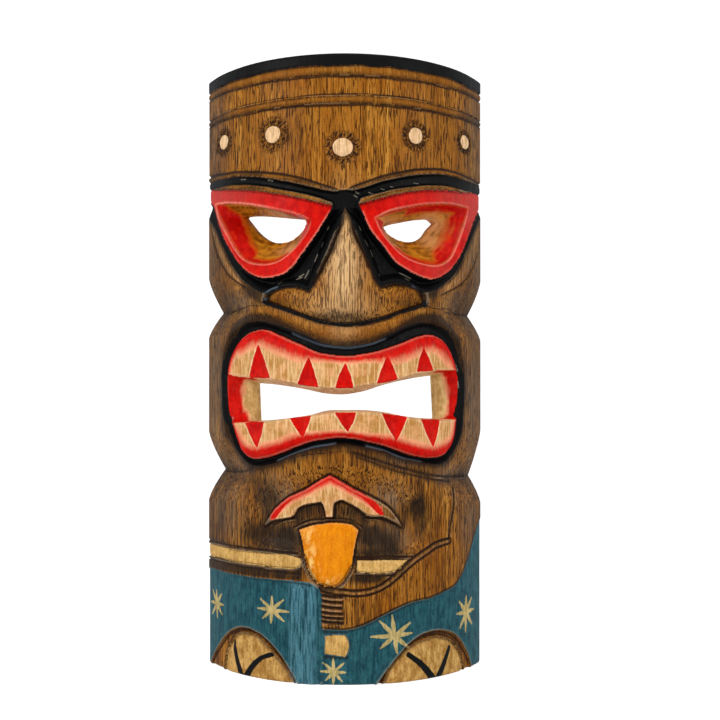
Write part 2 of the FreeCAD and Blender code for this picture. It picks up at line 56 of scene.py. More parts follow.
# ---- the log, from the frame (millimetres) ----
low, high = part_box("carved_mask")
HALF_WIDTH = round((high.x - low.x) / 2 / MM, 1)
DEPTH = round((high.y - low.y) / MM)
TOP = round(high.z / MM, 1)
BACK_Y = high.y / MM
LOG_RADIUS = (HALF_WIDTH ** 2 + DEPTH ** 2) / (2 * DEPTH)
AXIS_Y = BACK_Y - DEPTH + LOG_RADIUS
BACK_FROM_AXIS = AXIS_Y - BACK_Y

# ---- the hollow and the hanger's pocket ----
WALL = 25.0
HOLLOW_RADIUS = LOG_RADIUS - WALL
HOLLOW_LOW, HOLLOW_HIGH, HOLLOW_END = 30.0, TOP - 88.0, 26.0
POCKET_HALF_WIDTH, POCKET_DEPTH = 17.0, 6.0
POCKET_LOW, POCKET_HIGH = TOP - 77.0, TOP - 12.0
HOLE_DEPTH = WALL - 3.5     # of the edge of an eye or the mouth, which has a thickness of its own

# ---- the mesh ----
GRID = 0.9                  # spacing on the face; the back has half as many points each way
REACH = 40.0                # how far from an outline its distance is worked out
EDGE_FADE = 0.8             # how deep a carving still is where it runs out at the sides

# ---- waists of the left and the right side: height, depth, length of the round below and above ----
WAISTS = (((301.0, 11.0, 22.0, 30.0), (167.0, 12.5, 27.0, 33.0)),
          ((298.5, 10.0, 22.0, 30.0), (161.5, 9.5, 24.0, 40.0)))


# ======== drawing on the sheet of the log's face ========
def mix(a, b, t):
    return a + (b - a) * t


def smoothstep(start, stop, value):
    t = np.clip((value - start) / (stop - start), 0.0, 1.0)
    return t * t * (3.0 - 2.0 * t)


def ramp(gap, reach):
    """1 where there is no gap, falling in a straight line to 0 at the reach."""
    return np.clip(1 - gap / reach, 0, 1)


def near(gap, reach):
    """1 on a line, falling off sharply on both sides of it."""
    return np.exp(-np.abs(gap) / reach)


def bell(gap, reach):
    """1 on a line, falling off softly on both sides of it."""
    return np.exp(-(gap / reach) ** 2)


def union(*fields):
    """What lies inside any of some outlines, each given by its signed distance."""
    return reduce(np.maximum, fields)


def overlap(*fields):
    """What lies inside all of some outlines."""
    return reduce(np.minimum, fields)


def ripple(s, z, size, seed, stretch=1.0):
    """Smooth random waves of about a given size, from -1 to 1. Stretch makes them taller."""
    rng = np.random.default_rng(seed)
    lattice = rng.uniform(-1.0, 1.0, (512, 512))
    u = (s / size + 256.0) % 511.0
    w = (z / (size * stretch) + 16.0) % 511.0
    i, j = u.astype(int), w.astype(int)
    fu, fw = u - i, w - j
    fu, fw = fu * fu * (3 - 2 * fu), fw * fw * (3 - 2 * fw)
    lower = mix(lattice[i, j], lattice[i + 1, j], fu)
    upper = mix(lattice[i, j + 1], lattice[i + 1, j + 1], fu)
    return mix(lower, upper, fw)


def arc_to(x):
    """How far round the log a place lies that is seen at x from the front."""
    return LOG_RADIUS * math.asin(x / LOG_RADIUS)


def on_sheet(points, radius=LOG_RADIUS):
    """Drawn points as seen from the front, unrolled: arc length along the log, height."""
    drawn = np.array(points, float)
    return np.column_stack([LOG_RADIUS * np.arcsin(drawn[:, 0] / radius), drawn[:, 1]])


def rounded(loop, closed=True, corner=48.0, parts=4):
    """A smooth run through the points, which keeps the corners that turn by more than a
    given angle."""
    before, after = np.roll(loop, 1, 0), np.roll(loop, -1, 0)
    if not closed:
        before[0], after[-1] = loop[0] * 2 - loop[1], loop[-1] * 2 - loop[-2]
    leg_in, leg_out = loop - before, after - loop
    size_in = np.linalg.norm(leg_in, axis=1, keepdims=True)
    size_out = np.linalg.norm(leg_out, axis=1, keepdims=True)
    unit_in, unit_out = leg_in / size_in, leg_out / size_out
    turn = np.degrees(np.arccos(np.clip((unit_in * unit_out).sum(1), -1, 1)))
    tangent = (unit_in * size_out + unit_out * size_in) / (size_in + size_out)
    t = np.linspace(0, 1, parts, endpoint=False)[:, None]
    runs = []
    for i in range(len(loop) if closed else len(loop) - 1):
        j = (i + 1) % len(loop)
        chord = loop[j] - loop[i]
        length = np.linalg.norm(chord)
        start = chord if turn[i] > corner else tangent[i] * length
        stop = chord if turn[j] > corner else tangent[j] * length
        runs.append((2 * t ** 3 - 3 * t ** 2 + 1) * loop[i] + (t ** 3 - 2 * t ** 2 + t) * start
                    + (3 * t ** 2 - 2 * t ** 3) * loop[j] + (t ** 3 - t ** 2) * stop)
    if not closed:
        runs.append(loop[-1:])
    return np.vstack(runs)


def distance_on(s, z, loop, closed=True, reach=REACH):
    """Distance from points of the sheet to a run of points. A closed one is positive inside."""
    starts = loop if closed else loop[:-1]
    ends = np.roll(loop, -1, 0) if closed else loop[1:]
    lowest, highest = loop.min(0) - reach, loop.max(0) + reach
    close = (s > lowest[0]) & (s < highest[0]) & (z > lowest[1]) & (z < highest[1])
    ps, pz = s[close].astype(np.float32), z[close].astype(np.float32)
    best = np.full(ps.shape, reach ** 2, np.float32)
    within = np.zeros(ps.shape, bool)
    for (a, b), (c, d) in zip(starts, ends):
        ds, dz = c - a, d - b
        along = np.clip(((ps - a) * ds + (pz - b) * dz) / (ds * ds + dz * dz + 1e-9), 0, 1)
        best = np.minimum(best, (ps - a - along * ds) ** 2 + (pz - b - along * dz) ** 2)
        if closed and b != d:
            within ^= ((b > pz) != (d > pz)) & (ps < a + (pz - b) * ds / dz)
    found = np.sqrt(best)
    result = np.full(s.shape, -reach if closed else reach)
    result[close] = np.where(within, found, -found) if closed else found
    return result


# ======== outlines: head ========
UPPER_PANEL = (466.4, 483.0)
HATBAND_LOW = 460.6
RIM_FOOT = 489.8
PANEL_FOOT = [(-125, 419), (-112, 417.2), (-100, 415.6), (-90, 414), (-80, 412.3), (-70, 410.6),
              (-60, 408.8), (-50, 406.4), (-40, 403.4), (-30, 400), (-20, 396.5), (-10, 393), (-1.5, 390.6),
              (8, 394.8), (20, 399.5), (30, 403), (40, 406), (50, 408.8), (60, 411), (70, 412.8), (80, 414),
              (90, 414.4), (100, 414), (112, 412.6), (125, 411)]
BROW_LEFT = [(-125, 413.4), (-100, 411.5), (-90, 410.2), (-80, 408.4), (-70, 406.4), (-60, 404),
             (-50, 401.4), (-40, 398.6), (-30, 395.6), (-20, 393), (-10, 390.9), (-3, 390.5), (-1, 384),
             (-10, 382.8), (-20, 386.2), (-30, 389.2), (-40, 391.8), (-50, 394.3), (-60, 397), (-70, 399.6),
             (-80, 402), (-90, 404), (-100, 405.6), (-125, 407.5)]
BROW_RIGHT = [(0, 390), (10, 392.6), (20, 396), (30, 399.2), (40, 402.1), (50, 404.8), (60, 407),
              (70, 408.8), (80, 410), (90, 410.6), (100, 410.7), (125, 410), (125, 402.6), (100, 402.2),
              (90, 402), (80, 401.3), (70, 400), (60, 398.2), (50, 396), (40, 393.6), (30, 391),
              (20, 388.2), (12, 385.6), (1, 381)]
BROW_KNOT = [(-12, 385), (-4, 392), (4, 392), (13, 386), (8, 377), (0, 381), (-7, 376)]
EYE_FRAMES = (
    [(-125, 410.5), (-110, 404.6), (-99.5, 401.8), (-90, 399.6), (-81, 397.4), (-70, 394.9), (-59.5, 392.2),
     (-48, 389.6), (-38, 387.2), (-28, 384.8), (-19.5, 382.4), (-9.8, 379.8), (-18, 365.4), (-25.7, 353.8),
     (-35, 342.3), (-44.2, 331.5), (-50.3, 327), (-56.5, 325.4), (-65.7, 324.6), (-73.4, 326.2),
     (-82.6, 332.3), (-90.3, 340.8), (-96.5, 350), (-102.6, 360.8), (-108.8, 376), (-113, 388),
     (-118.5, 398), (-125, 404)],
    [(11.2, 381.2), (20, 383.4), (30, 386.4), (40, 389.4), (50, 392), (60, 394.3), (70, 396), (80, 397.3),
     (90, 398.5), (100, 400), (110, 402), (125, 404.5), (119, 392), (111.5, 377), (105.8, 363),
     (99.6, 348.5), (93, 338.5), (86, 331), (78, 326), (71.2, 324.6), (62, 326.2), (52.8, 330), (42, 336.2),
     (32.8, 347), (23.5, 357.7), (17.4, 367), (14.3, 374.6)],
)
SOCKET_RIMS = (
    [(-112.5, 393.6), (-100, 391), (-87.2, 387.8), (-71.8, 383.6), (-56.5, 379), (-41, 374.2),
     (-27.2, 369.4), (-29.5, 362.3), (-35, 353.8), (-41, 347), (-48.8, 340.8), (-56.5, 337), (-65.7, 335.5),
     (-76.5, 337.4), (-85.7, 343), (-92.5, 351), (-99, 362.3), (-105, 373.5), (-109.5, 383)],
    [(24.3, 370.8), (35.8, 376.6), (51.2, 381), (66.6, 384.6), (82, 387.4), (95, 388.6), (106.5, 389),
     (102.6, 375), (98, 362.5), (93.2, 351.5), (87.6, 342.3), (82, 337.6), (73.4, 335.2), (62, 336.5),
     (52.8, 339.2), (43.5, 345.4), (35.8, 353), (29.7, 360.8)],
)
# Sides of the sockets painted red: how far in the red is full, and where it has run out.
SOCKET_REDS = (
    ([(-110, 385), (-105, 373), (-99, 362), (-92.5, 351), (-86, 343)], 6.0, 14.0),
    ([(-86, 343), (-76, 337.5), (-66, 335.5), (-56, 337), (-48, 341)], 1.0, 7.0),
    ([(105, 384), (102, 375), (98, 362.5), (93, 351.5), (87, 342)], 6.0, 15.0),
    ([(87, 342), (82, 337.6), (73, 335.2), (62, 336.5), (52, 339.5), (44, 345)], 1.0, 7.0),
    ([(56, 382.4), (66, 384.6), (82, 387.4), (104, 389)], 3.0, 8.0),
    ([(24, 371), (36, 376.6), (51, 381)], 0.5, 3.0),
)
# The see-through openings lie on the hollow's surface.
EYE_HOLES = (
    [(-82.6, 382.2), (-72.6, 381), (-58.4, 378.3), (-42.4, 375.2), (-27.4, 373), (-30.6, 367),
     (-36.2, 360.7), (-40.8, 357.4), (-48.8, 355.5), (-56.7, 356.6), (-63, 359.8), (-71.1, 367),
     (-76.7, 374.1)],
    [(29.4, 366.6), (34.6, 369), (46.5, 372.5), (61, 376.2), (69.2, 377), (72.8, 374.6), (67.4, 368.5),
     (62.5, 361.5), (57.6, 358.2), (51.3, 356.3), (43.4, 356.9), (37, 359.6), (32.4, 363.3)],
)
MOUTH_HOLE = [(-71.4, 240.5), (-53.7, 238.6), (-32.9, 235.1), (-13.8, 231.1), (0.5, 230.6), (13.2, 232.7),
              (30.7, 238.3), (53.1, 243.8), (72, 247), (74, 210.4), (61.3, 211.1), (46.6, 212.9),
              (30.7, 216.2), (18, 217.6), (0.5, 217.8), (-13.8, 217.4), (-26.6, 214), (-42.5, 211.4),
              (-58.7, 209.5), (-70, 209)]
VALLEY = [(-123, 400), (-119, 386), (-110.4, 371), (-103, 355), (-96, 341.5), (-87, 327), (-76, 317.5),
          (-64, 312.5), (-50, 317), (-38, 317), (-29, 313), (-24, 325), (-15, 345), (-7, 362), (0, 372),
          (7, 366), (14, 350), (22, 332), (28, 317), (40, 321), (50, 320), (63, 314), (76, 317), (87, 325),
          (96.5, 338), (104.5, 355), (111.5, 371), (119, 386), (123, 396), (100, 393), (60, 387), (25, 377),
          (9, 381), (0, 386), (-9, 379), (-28, 377), (-60, 387), (-100, 397)]
CHEEK_LINES = (
    [(-116, 380), (-112.5, 364), (-108, 350), (-101, 336), (-92, 325), (-82, 317.5)],
    [(114, 352), (109, 338), (101, 326), (90, 317), (80, 312)],
)
CHEEK_BANDS = (
    [(-113.5, 374), (-107, 354), (-98, 337), (-87, 323)],
    [(112, 368), (107.5, 350), (101, 335), (91, 323), (80, 315.5)],
)
NOSE = [(0, 380), (-3.6, 367), (-9, 353), (-15.2, 339), (-21.5, 327), (-26, 319), (-29.5, 312.6),
        (-38, 316.4), (-50.3, 316.7), (-59.5, 314), (-65, 310), (-66.2, 305.4), (-61, 303.5), (-51, 299.8),
        (-40, 295.8), (-30, 292), (-20, 289), (-10, 287), (0, 286.4), (10, 286.8), (20, 288.6), (30, 291.4),
        (40, 295), (51.2, 298.8), (66.2, 303.6), (65.4, 311.5), (58.9, 317.2), (49.7, 319.4), (40.5, 320.2),
        (31, 316.5), (28.2, 318.2), (22.3, 330), (16, 343.8), (10, 356.2), (5.2, 371.5)]
NOSE_CREASES = (
    [(-103, 300), (-90, 302), (-80, 303), (-68, 301.5)],
    [(66, 302), (76, 300.5), (90, 301.5), (101, 298)],
)
MOULDING_FOOT = [(-72, 293), (-64, 290), (-48.8, 285), (-31.8, 278.6), (-18, 273.2), (0.5, 271),
                 (20.5, 273), (35.8, 279), (51.2, 286.2), (60.5, 289.6), (72, 294)]
MOULDING_CREST = [(-104, 301), (-88, 304), (-67, 299), (-44, 292), (-25.7, 285), (0.5, 280.2), (20.5, 280),
                  (35.8, 285.4), (51.2, 292.3), (66.6, 300), (84, 304), (103, 299)]

# ======== outlines: mouth ========
# How far below the log's own surface these were seen.
LIPS_SUNK, MOUTH_SUNK, GAPS_SUNK = 4.5, 4.0, 3.0
CHANNEL = [(-102.6, 231), (-102.6, 250), (-100.5, 267), (-94, 281), (-82, 290), (-66, 290.5), (-48.8, 285),
           (-31.8, 278.6), (-18, 273.2), (0.5, 271), (20.5, 273), (35.8, 279), (51.2, 286.4), (66, 290.6),
           (80, 288), (90, 280), (96.5, 267), (99.3, 250), (99.6, 231), (98.4, 210), (96, 192),
           (90.5, 177.5), (78, 172.5), (60, 174.5), (40, 180), (20, 187), (0, 189), (-20, 187), (-40, 181),
           (-60, 173.5), (-78, 171), (-89, 177), (-96.5, 191), (-101, 210)]
LIPS = [(-70.3, 283.5), (-81, 280.5), (-88.8, 274), (-95, 263), (-98.4, 250), (-98.6, 230.8),
        (-96.5, 213.8), (-92.6, 202), (-89, 191), (-85.7, 184), (-79.5, 179), (-73.4, 177.5), (-64, 179),
        (-50.3, 183.6), (-38, 188.3), (-25.7, 192.4), (-11.8, 194.8), (0.5, 195.2), (12.8, 193.6),
        (28.2, 189.8), (43.5, 184.4), (55.8, 180.6), (71.2, 178.6), (80.5, 180), (86.6, 184.6),
        (90.5, 190.8), (92.8, 201.5), (93.8, 213.8), (94.8, 230.8), (94.4, 247), (91.5, 259), (86, 269.5),
        (79, 276.6), (71.2, 279.6), (60.5, 278), (48, 272.6), (32.8, 266.8), (17.4, 263), (2, 261.4),
        (-10.3, 262.5), (-25.7, 266), (-38, 271.7), (-51.8, 277.9), (-61, 282.5)]
MOUTH = [(-97, 247), (-76.5, 244.3), (-61, 243), (-50.3, 240.8), (-35, 238.5), (-22.6, 236.4), (0.5, 235.5),
         (15.8, 237.5), (29.7, 239.6), (42, 242.6), (57.4, 247.7), (71.2, 250), (94.5, 250.8),
         (95.2, 210.8), (76.6, 209.6), (61.2, 210), (48.9, 212.3), (29.7, 215.4), (8.2, 216.3), (-7.2, 216),
         (-27.2, 213), (-44, 211.5), (-65.7, 207.7), (-81, 207.5), (-96.5, 206.5)]
# Gaps between the teeth: the point, then the two corners at the mouth.
TOOTH_GAPS = (
    [(-69.8, 271), (-77, 244), (-60, 243.5)], [(-28.3, 260.5), (-37.3, 238.5), (-21.3, 236.5)],
    [(0.2, 255.4), (-7.2, 235.5), (7.2, 235.5)], [(34, 261), (25.6, 239), (42, 242)],
    [(63.2, 268), (57.6, 249), (71.5, 250.3)], [(-70.6, 187), (-81.3, 207.7), (-65.4, 207.7)],
    [(-33, 196.2), (-44, 212), (-27, 213)], [(2.8, 201), (-7.5, 216), (8.9, 216)],
    [(40.8, 193.2), (29.6, 215.4), (49.5, 212.3)], [(71.2, 188.2), (60.9, 210), (77, 209.8)],
)
MOUTH_CREASES = ([(-97, 247), (-77, 244.2)], [(72, 250), (94, 250.8)], [(-96, 206.6), (-81, 207.6)],
                 [(77, 209.8), (94.5, 210.6)])

# ======== outlines: the small figure, the robe and the feet ========
CHIN_LINES = (
    [(6, 184.5), (29.7, 176.5), (51.2, 169.5), (68, 165), (86, 162.5), (108, 161)],
    [(10, 180.5), (32, 172.5), (52, 166), (70, 161.5), (90, 158)],
)
CHIN_EDGE = [(-110, 165), (-92, 166), (-70, 172), (-45, 179), (-22, 183), (3, 184.5), (28, 178), (52, 170),
             (78, 164), (108, 162)]
CHIN_HOLLOW = [(-80, 104), (-83, 128), (-66, 154), (-34, 166), (-6, 170), (26, 165), (52, 153), (67, 130),
               (64, 108), (48, 96), (14, 92), (-14, 92), (-40, 101)]
ROOF = [(-11.8, 166), (-19.5, 162), (-35, 153.5), (-48.8, 146.6), (-56.5, 140), (-62, 133), (-68, 122.5),
        (-60, 128.4), (-52, 130.6), (-44.2, 131.8), (-41, 137.7), (-31.8, 142.3), (-19.5, 144.6),
        (-17, 140), (-15.7, 132.6), (-9.8, 132.6), (-9, 143.8), (-2.6, 146.2), (5, 143), (12.8, 138.5),
        (19, 133.6), (31, 132.6), (48.4, 123.6), (44.5, 130), (36.6, 140), (25.6, 147), (10.2, 154),
        (-4.2, 161.8)]
ROOF_TOP = [(-63, 130), (-57, 139), (-48.8, 146.6), (-35, 153.5), (-11.8, 165.5), (-4.2, 161.5),
            (10.2, 153.4), (22, 146.4), (31, 139)]
ROOF_CREAM = [(-11.5, 165.5), (-35, 153), (-48.8, 146), (-56.5, 139.4), (-61, 132), (-60.6, 130),
              (-52, 131.4), (-43, 133.2), (-40, 138.7), (-31.8, 143.3), (-18.5, 145.6), (-15.7, 132.8),
              (-10.2, 132.8), (-9, 144.8), (-2.6, 147.2), (5, 144), (12.8, 139.5), (20, 135.4), (31, 134.6),
              (31, 140), (22, 146.4), (10.2, 153.4), (-4.2, 161.5)]
UNDER_ROOF = [(-44, 124), (-46, 133), (-30, 145), (-12, 148), (6, 146), (22, 133), (20, 124), (-10, 130)]
LID_LINES = (
    [(-43, 123.6), (-31.8, 129.2), (-19.5, 131), (-7.2, 131.6), (5, 130), (15.5, 124.6)],
    [(-60, 125), (-50, 130), (-41, 131.5)],
    [(16, 132.2), (28, 131.4), (42, 126)],
)
MUG_SUNK = 2.0
MUG = [(-37.5, 122.3), (-25.7, 126.4), (-13.4, 128.2), (-1, 128.2), (8.2, 125.6), (11.6, 122.3),
       (10.6, 118.5), (8.4, 107.7), (6, 95.4), (2.2, 86.2), (-1, 81.8), (-5.7, 78.4), (-12, 77.6),
       (-19.5, 78.6), (-25.7, 84), (-29.7, 90.4), (-32, 99.6), (-34.4, 110.4)]
ARMS = (
    [(-125, 103.5), (-100, 102.8), (-70, 101.8), (-41, 101), (-36, 99.6), (-34.6, 96.6), (-36, 93.2),
     (-40, 91.8), (-48, 91.6), (-58, 91.6), (-70, 91.6), (-100, 92.4), (-125, 93)],
    [(10.3, 98.7), (50.8, 97.4), (45, 90.8), (35.8, 88.4), (9.8, 89.8)],
)
ARM_LINES = (
    [(-125, 106.4), (-100, 105.8), (-70, 104.6), (-38, 103.4)],
    [(-125, 90.5), (-100, 89.6), (-70, 88.4), (-36, 87.6)],
    [(9, 100.8), (30, 100.6), (55, 100)],
    [(9, 87.2), (28, 86.6), (42, 86.5)],
)
BODY_CUT = [(92.5, 153), (90.4, 140), (88, 126), (86, 112.5)]
BODY_BEAD = [(86.5, 110.6), (74.3, 107.4), (65, 102), (54.3, 95.2), (45, 88.2), (37.4, 82), (29.7, 77.4),
             (20.5, 74.4), (9.7, 73), (0, 73.6), (-9, 74.8), (-18, 77)]
RIB_HEIGHTS = (70.6, 66.2, 61.8, 57.2, 53.4, 50.0)
RIB_FROM, RIB_TO = -19.0, -2.5
ROBE_LEFT = [(-125, 82.4), (-100, 82.2), (-70, 81.8), (-34, 81.6), (-25.7, 80.4), (-20.3, 75.8),
             (-18.9, 60), (-18.8, 43), (-19, -12), (-125, -12)]
ROBE_RIGHT = [(-19, 45), (-10.3, 44.2), (2, 44.2), (15.8, 48), (29.7, 54.2), (43.5, 60.4), (54.3, 63.5),
              (69.7, 65.5), (82, 69.2), (92.8, 73.8), (99, 82.7), (103.5, 92), (107.4, 102.7), (114.3, 120),
              (125, 140), (125, -12), (-19, -12)]
ROBE_FOLD, ROBE_FOLD_HALF = -34.0, 15.0    # middle and half width of the raised fold
SASH = [(-15.7, 39.3), (-7, 40), (0.8, 39.6), (3, 33.5), (2.8, 27.3), (0.5, 22.6), (-8, 24), (-16.2, 25)]
FOOT_ARCHES = (
    [(-118, -12), (-115, 2), (-108.8, 16.5), (-99.5, 30.4), (-90.3, 38), (-81, 40), (-71.8, 38),
     (-59.5, 30.4), (-50.3, 19.6), (-41, 5.8), (-33, -12)],
    [(19, -12), (25.8, 1), (32.8, 10.4), (42, 21), (51.2, 30.4), (62, 37.3), (71.2, 39.2), (82, 38),
     (91.2, 32.7), (100.5, 21), (105.8, 8.8), (109, -12)],
)
FEET = (
    [(-102.5, -12), (-101.8, 2), (-99.5, 16.5), (-95, 25.8), (-88.8, 32.7), (-81, 35), (-73.4, 34.2),
     (-64, 28), (-53.4, 16.5), (-45.7, 7.3), (-36, -12)],
    [(26, -12), (32, 1.5), (35.8, 10.4), (45, 21), (54.3, 28), (65, 32), (75.8, 32.7), (82, 31),
     (91.2, 24.2), (97.4, 15), (100.5, 2), (102, -12)],
)
# Brush strokes: a path and the stroke's width at its two ends.
FOOT_STROKES = (
    ([(-92.3, 26), (-90.6, 16), (-84.4, -4)], 3.4, 6.4),
    ([(-59.5, 21), (-67, 18), (-74.8, 10.6), (-83.5, -4)], 3.6, 6.4),
    ([(52, 21.6), (62, 13.2), (75, -4)], 4.2, 6.8),
    ([(86.8, 23), (83, 13), (74.8, -4)], 3.4, 6.4),
)
# Chips and scratches in the black, with painted glints among them on the brows: where each short stroke
# starts and stops.
CHIPS_AND_GLINTS = (
    ((-24, 343), (-26.6, 337)), ((-31.6, 330.5), (-35.2, 324)), ((-36, 327.4), (-40.4, 325.2)),
    ((-37.5, 325), (-42, 323)), ((-54, 321), (-57.4, 320)), ((-14, 365), (-15.5, 362)),
    ((-19, 352), (-20.4, 349)), ((17, 353), (19.6, 349)), ((22, 346), (24.4, 341)),
    ((12, 364), (13.6, 361)), ((29, 327), (30, 325)), ((48, 329), (58, 324.6)),
    ((51, 323.6), (54.6, 322.6)), ((8, 388.5), (10.4, 387)), ((9, 391), (12, 390)),
    ((20, 391.4), (23.6, 389.4)), ((30, 394.6), (33, 393.8)), ((38, 397), (41, 396.2)),
    ((58, 401), (62, 400.8)), ((-90, 262), (-93, 256)), ((90, 266), (94, 260)), ((96, 256), (97.4, 250)),
    ((97.6, 242), (98, 236)), ((-98, 212), (-96.6, 204)), ((-60, 403), (-64, 403.8)),
    ((-84, 407.6), (-88, 408)),
)
# Painted bluish sheen, standing for reflections, along the creases at both ends of the nose and over the
# lips.
PAINTED_SHEEN_LINES = (
    [(-65.6, 307), (-65.8, 311), (-62.6, 314.6), (-56, 316.6)],
    [(56, 318), (60.4, 314.6), (63, 309.6), (65, 305.6)],
    [(-44, 279.4), (-30, 273.4), (-14, 269), (2, 267.6), (18, 269.2), (34, 274.6)],
    [(-56, 177.6), (-40, 183.6), (-24, 188.6), (-8, 191)],
    [(18, 189.4), (34, 184.6), (50, 178.4), (64, 175.6)],
)
# Painted stars: middle, half width and half height of their eight rays, as seen.
STARS = (
    (-109.5, 53.5, 7.5, 14.5), (-59.8, 56.8, 13.5, 13.5), (40.6, 37.6, 18.5, 16.5),
    (102.8, 47.8, 9.5, 17.5), (-8.8, 10.4, 11.5, 11.0),
)
# Studs: middle, radius of the pale disc and of the gouged ring, on the log's own surface.
STUDS = (
    (-102.2, 442.3, 5.9, 11.2), (-59.1, 439.8, 6.7, 14.0), (-1.8, 426.0, 8.3, 15.2),
    (57.8, 438.5, 6.3, 12.2), (101.2, 442.2, 5.5, 10.0),
)

# ======== soft patches as seen from the front: middle, half width, half height, strength ========
# Dark patches: partly dark stain and airbrushed black, partly painted shade in the hollows beside the small
# figure, under the roof and the nose, and in the waists.
STAINED_AND_SHADED_PATCHES = (
    (-66, 132, 7, 30, 0.7), (-72, 117, 14, 9, 1.0), (-50, 115, 12, 10, 1.4), (-44, 107, 8, 5, 1.0),
    (22, 117, 10, 10, 1.3), (38, 112, 10, 12, 1.0), (26, 104, 20, 4, 1.0), (60, 140, 7, 11, 1.2),
    (63, 125, 6, 12, 0.6), (-80, 160, 20, 5, 0.5), (18, 84, 16, 4, 1.0), (-70, 150, 8, 10, 0.5),
    (-4, 292, 24, 5, 0.7), (-20, 178, 60, 6, 0.2), (-78, 288, 16, 6, 1.4), (74, 289, 16, 6, 1.4),
    (-72, 315, 10, 6, 1.5), (-68, 309, 5, 5, 1.4), (68, 314, 8, 7, 1.5), (-50, 304, 16, 4, 0.4),
    (50, 304, 16, 4, 0.4), (-95, 312, 14, 7, 0.4), (96, 310, 14, 8, 0.4), (-108, 300, 10, 60, 0.2),
    (110, 300, 10, 60, 0.2), (-10, 60, 8, 14, 0.25), (-34, 139, 10, 5, 0.6), (10, 137, 10, 5, 0.6),
    (-50, 307, 16, 7, 0.12), (50, 307, 16, 7, 0.17), (0, 278, 50, 8, 0.1), (-100, 330, 14, 28, 0.14),
    (102, 330, 14, 28, 0.18), (-78, 440, 24, 26, 0.12), (-98, 134, 18, 22, 0.35), (-58, 148, 8, 14, 0.5),
    (47, 136, 8, 12, 0.5),
)
AMBER = (
    (0, 430, 70, 30, 0.8), (30, 478, 50, 8, 0.9), (-30, 476, 40, 8, 0.7), (20, 335, 9, 24, 1.0),
    (-20, 330, 6, 20, 0.7), (-50, 308, 12, 6, 1.0), (48, 310, 14, 7, 1.0), (0, 279, 60, 7, 1.0),
    (6, 182, 34, 7, 0.8), (52, 288, 20, 7, 0.9), (-52, 290, 20, 7, 0.9), (72, 92, 18, 24, 1.0),
    (30, 62, 30, 12, 1.0), (-84, 36, 30, 10, 1.0), (-106, 12, 8, 14, 1.0), (66, 37, 36, 9, 1.0),
    (102, 14, 6, 14, 1.0), (76, 126, 10, 26, 0.9), (-100, 338, 8, 18, 0.9), (101, 338, 9, 14, 1.0),
    (84, 322, 12, 6, 1.0), (-84, 322, 6, 6, 0.8), (-80, 478, 20, 10, 0.3), (-78, 150, 10, 16, 0.5),
    (22, 74, 24, 4, 1.0),
)
# Grey patches: painted grazing sheen along the sides, and greyish stain with painted sheen in the hollows
# beside the small figure.
GREY_SHEEN_AND_STAIN = (
    (-56, 148, 16, 18, 0.9), (36, 148, 14, 13, 0.8), (32, 114, 22, 14, 0.9), (-48, 115, 14, 10, 0.9),
    (-100, 172, 24, 10, 0.6), (98, 166, 24, 10, 0.6), (96, 308, 14, 10, 0.7), (-94, 308, 18, 9, 0.8),
    (-114, 340, 5, 34, 0.8), (115, 335, 6, 40, 0.8), (-110, 230, 10, 70, 0.9), (110, 230, 10, 70, 0.9),
    (45, 178, 20, 5, 0.5), (-96, 134, 16, 22, 0.7), (104, 126, 8, 24, 0.5), (-110, 450, 8, 40, 0.5),
    (112, 450, 8, 40, 0.5),
)
PALE = ((-1, 330, 13, 46, 1.0), (-4, 300, 24, 14, 0.6))
# Peach patches in the sockets: partly bare wood, partly painted highlight on walls that catch the light.
PEACH = ((83, 373, 10, 8, 1.4), (44, 370, 20, 4, 0.6), (-60, 377, 24, 3.5, 0.6), (-48, 347, 12, 4, 0.7),
         (80, 360, 8, 8, 0.8))
# Painted highlights on the mug's left and lower side.
SUNNY = ((-27, 94, 5, 18, 1.0), (-16, 82, 12, 4, 0.9), (-28, 116, 5, 8, 0.8))


# ======== the grid ========
def waist_depth_at_side(z, side):
    deepest = np.zeros_like(z)
    for height, deep, round_below, round_above in WAISTS[side]:
        away = np.where(z < height, (height - z) / round_below, (z - height) / round_above)
        deepest = np.maximum(deepest, deep * ramp(away, 1) ** 1.35)
    return deepest


def angle_at_back(radius):
    """The angle from the middle at which a point at this radius meets the flat back."""
    return np.arccos(BACK_FROM_AXIS / radius)


columns = 2 * round(LOG_RADIUS * angle_at_back(LOG_RADIUS) / GRID)
rows = 2 * round(TOP / GRID / 2)
share = np.linspace(-1, 1, columns + 1)[None, :]
Z = np.repeat(np.linspace(0, TOP, rows + 1)[:, None], columns + 1, axis=1)
left_end, right_end = (angle_at_back(LOG_RADIUS - waist_depth_at_side(Z[:, :1], side)) for side in (0, 1))
S = LOG_RADIUS * share * np.where(share < 0, left_end, right_end)

hole_loops = [rounded(on_sheet(loop, HOLLOW_RADIUS)) for loop in (*EYE_HOLES, MOUTH_HOLE)]


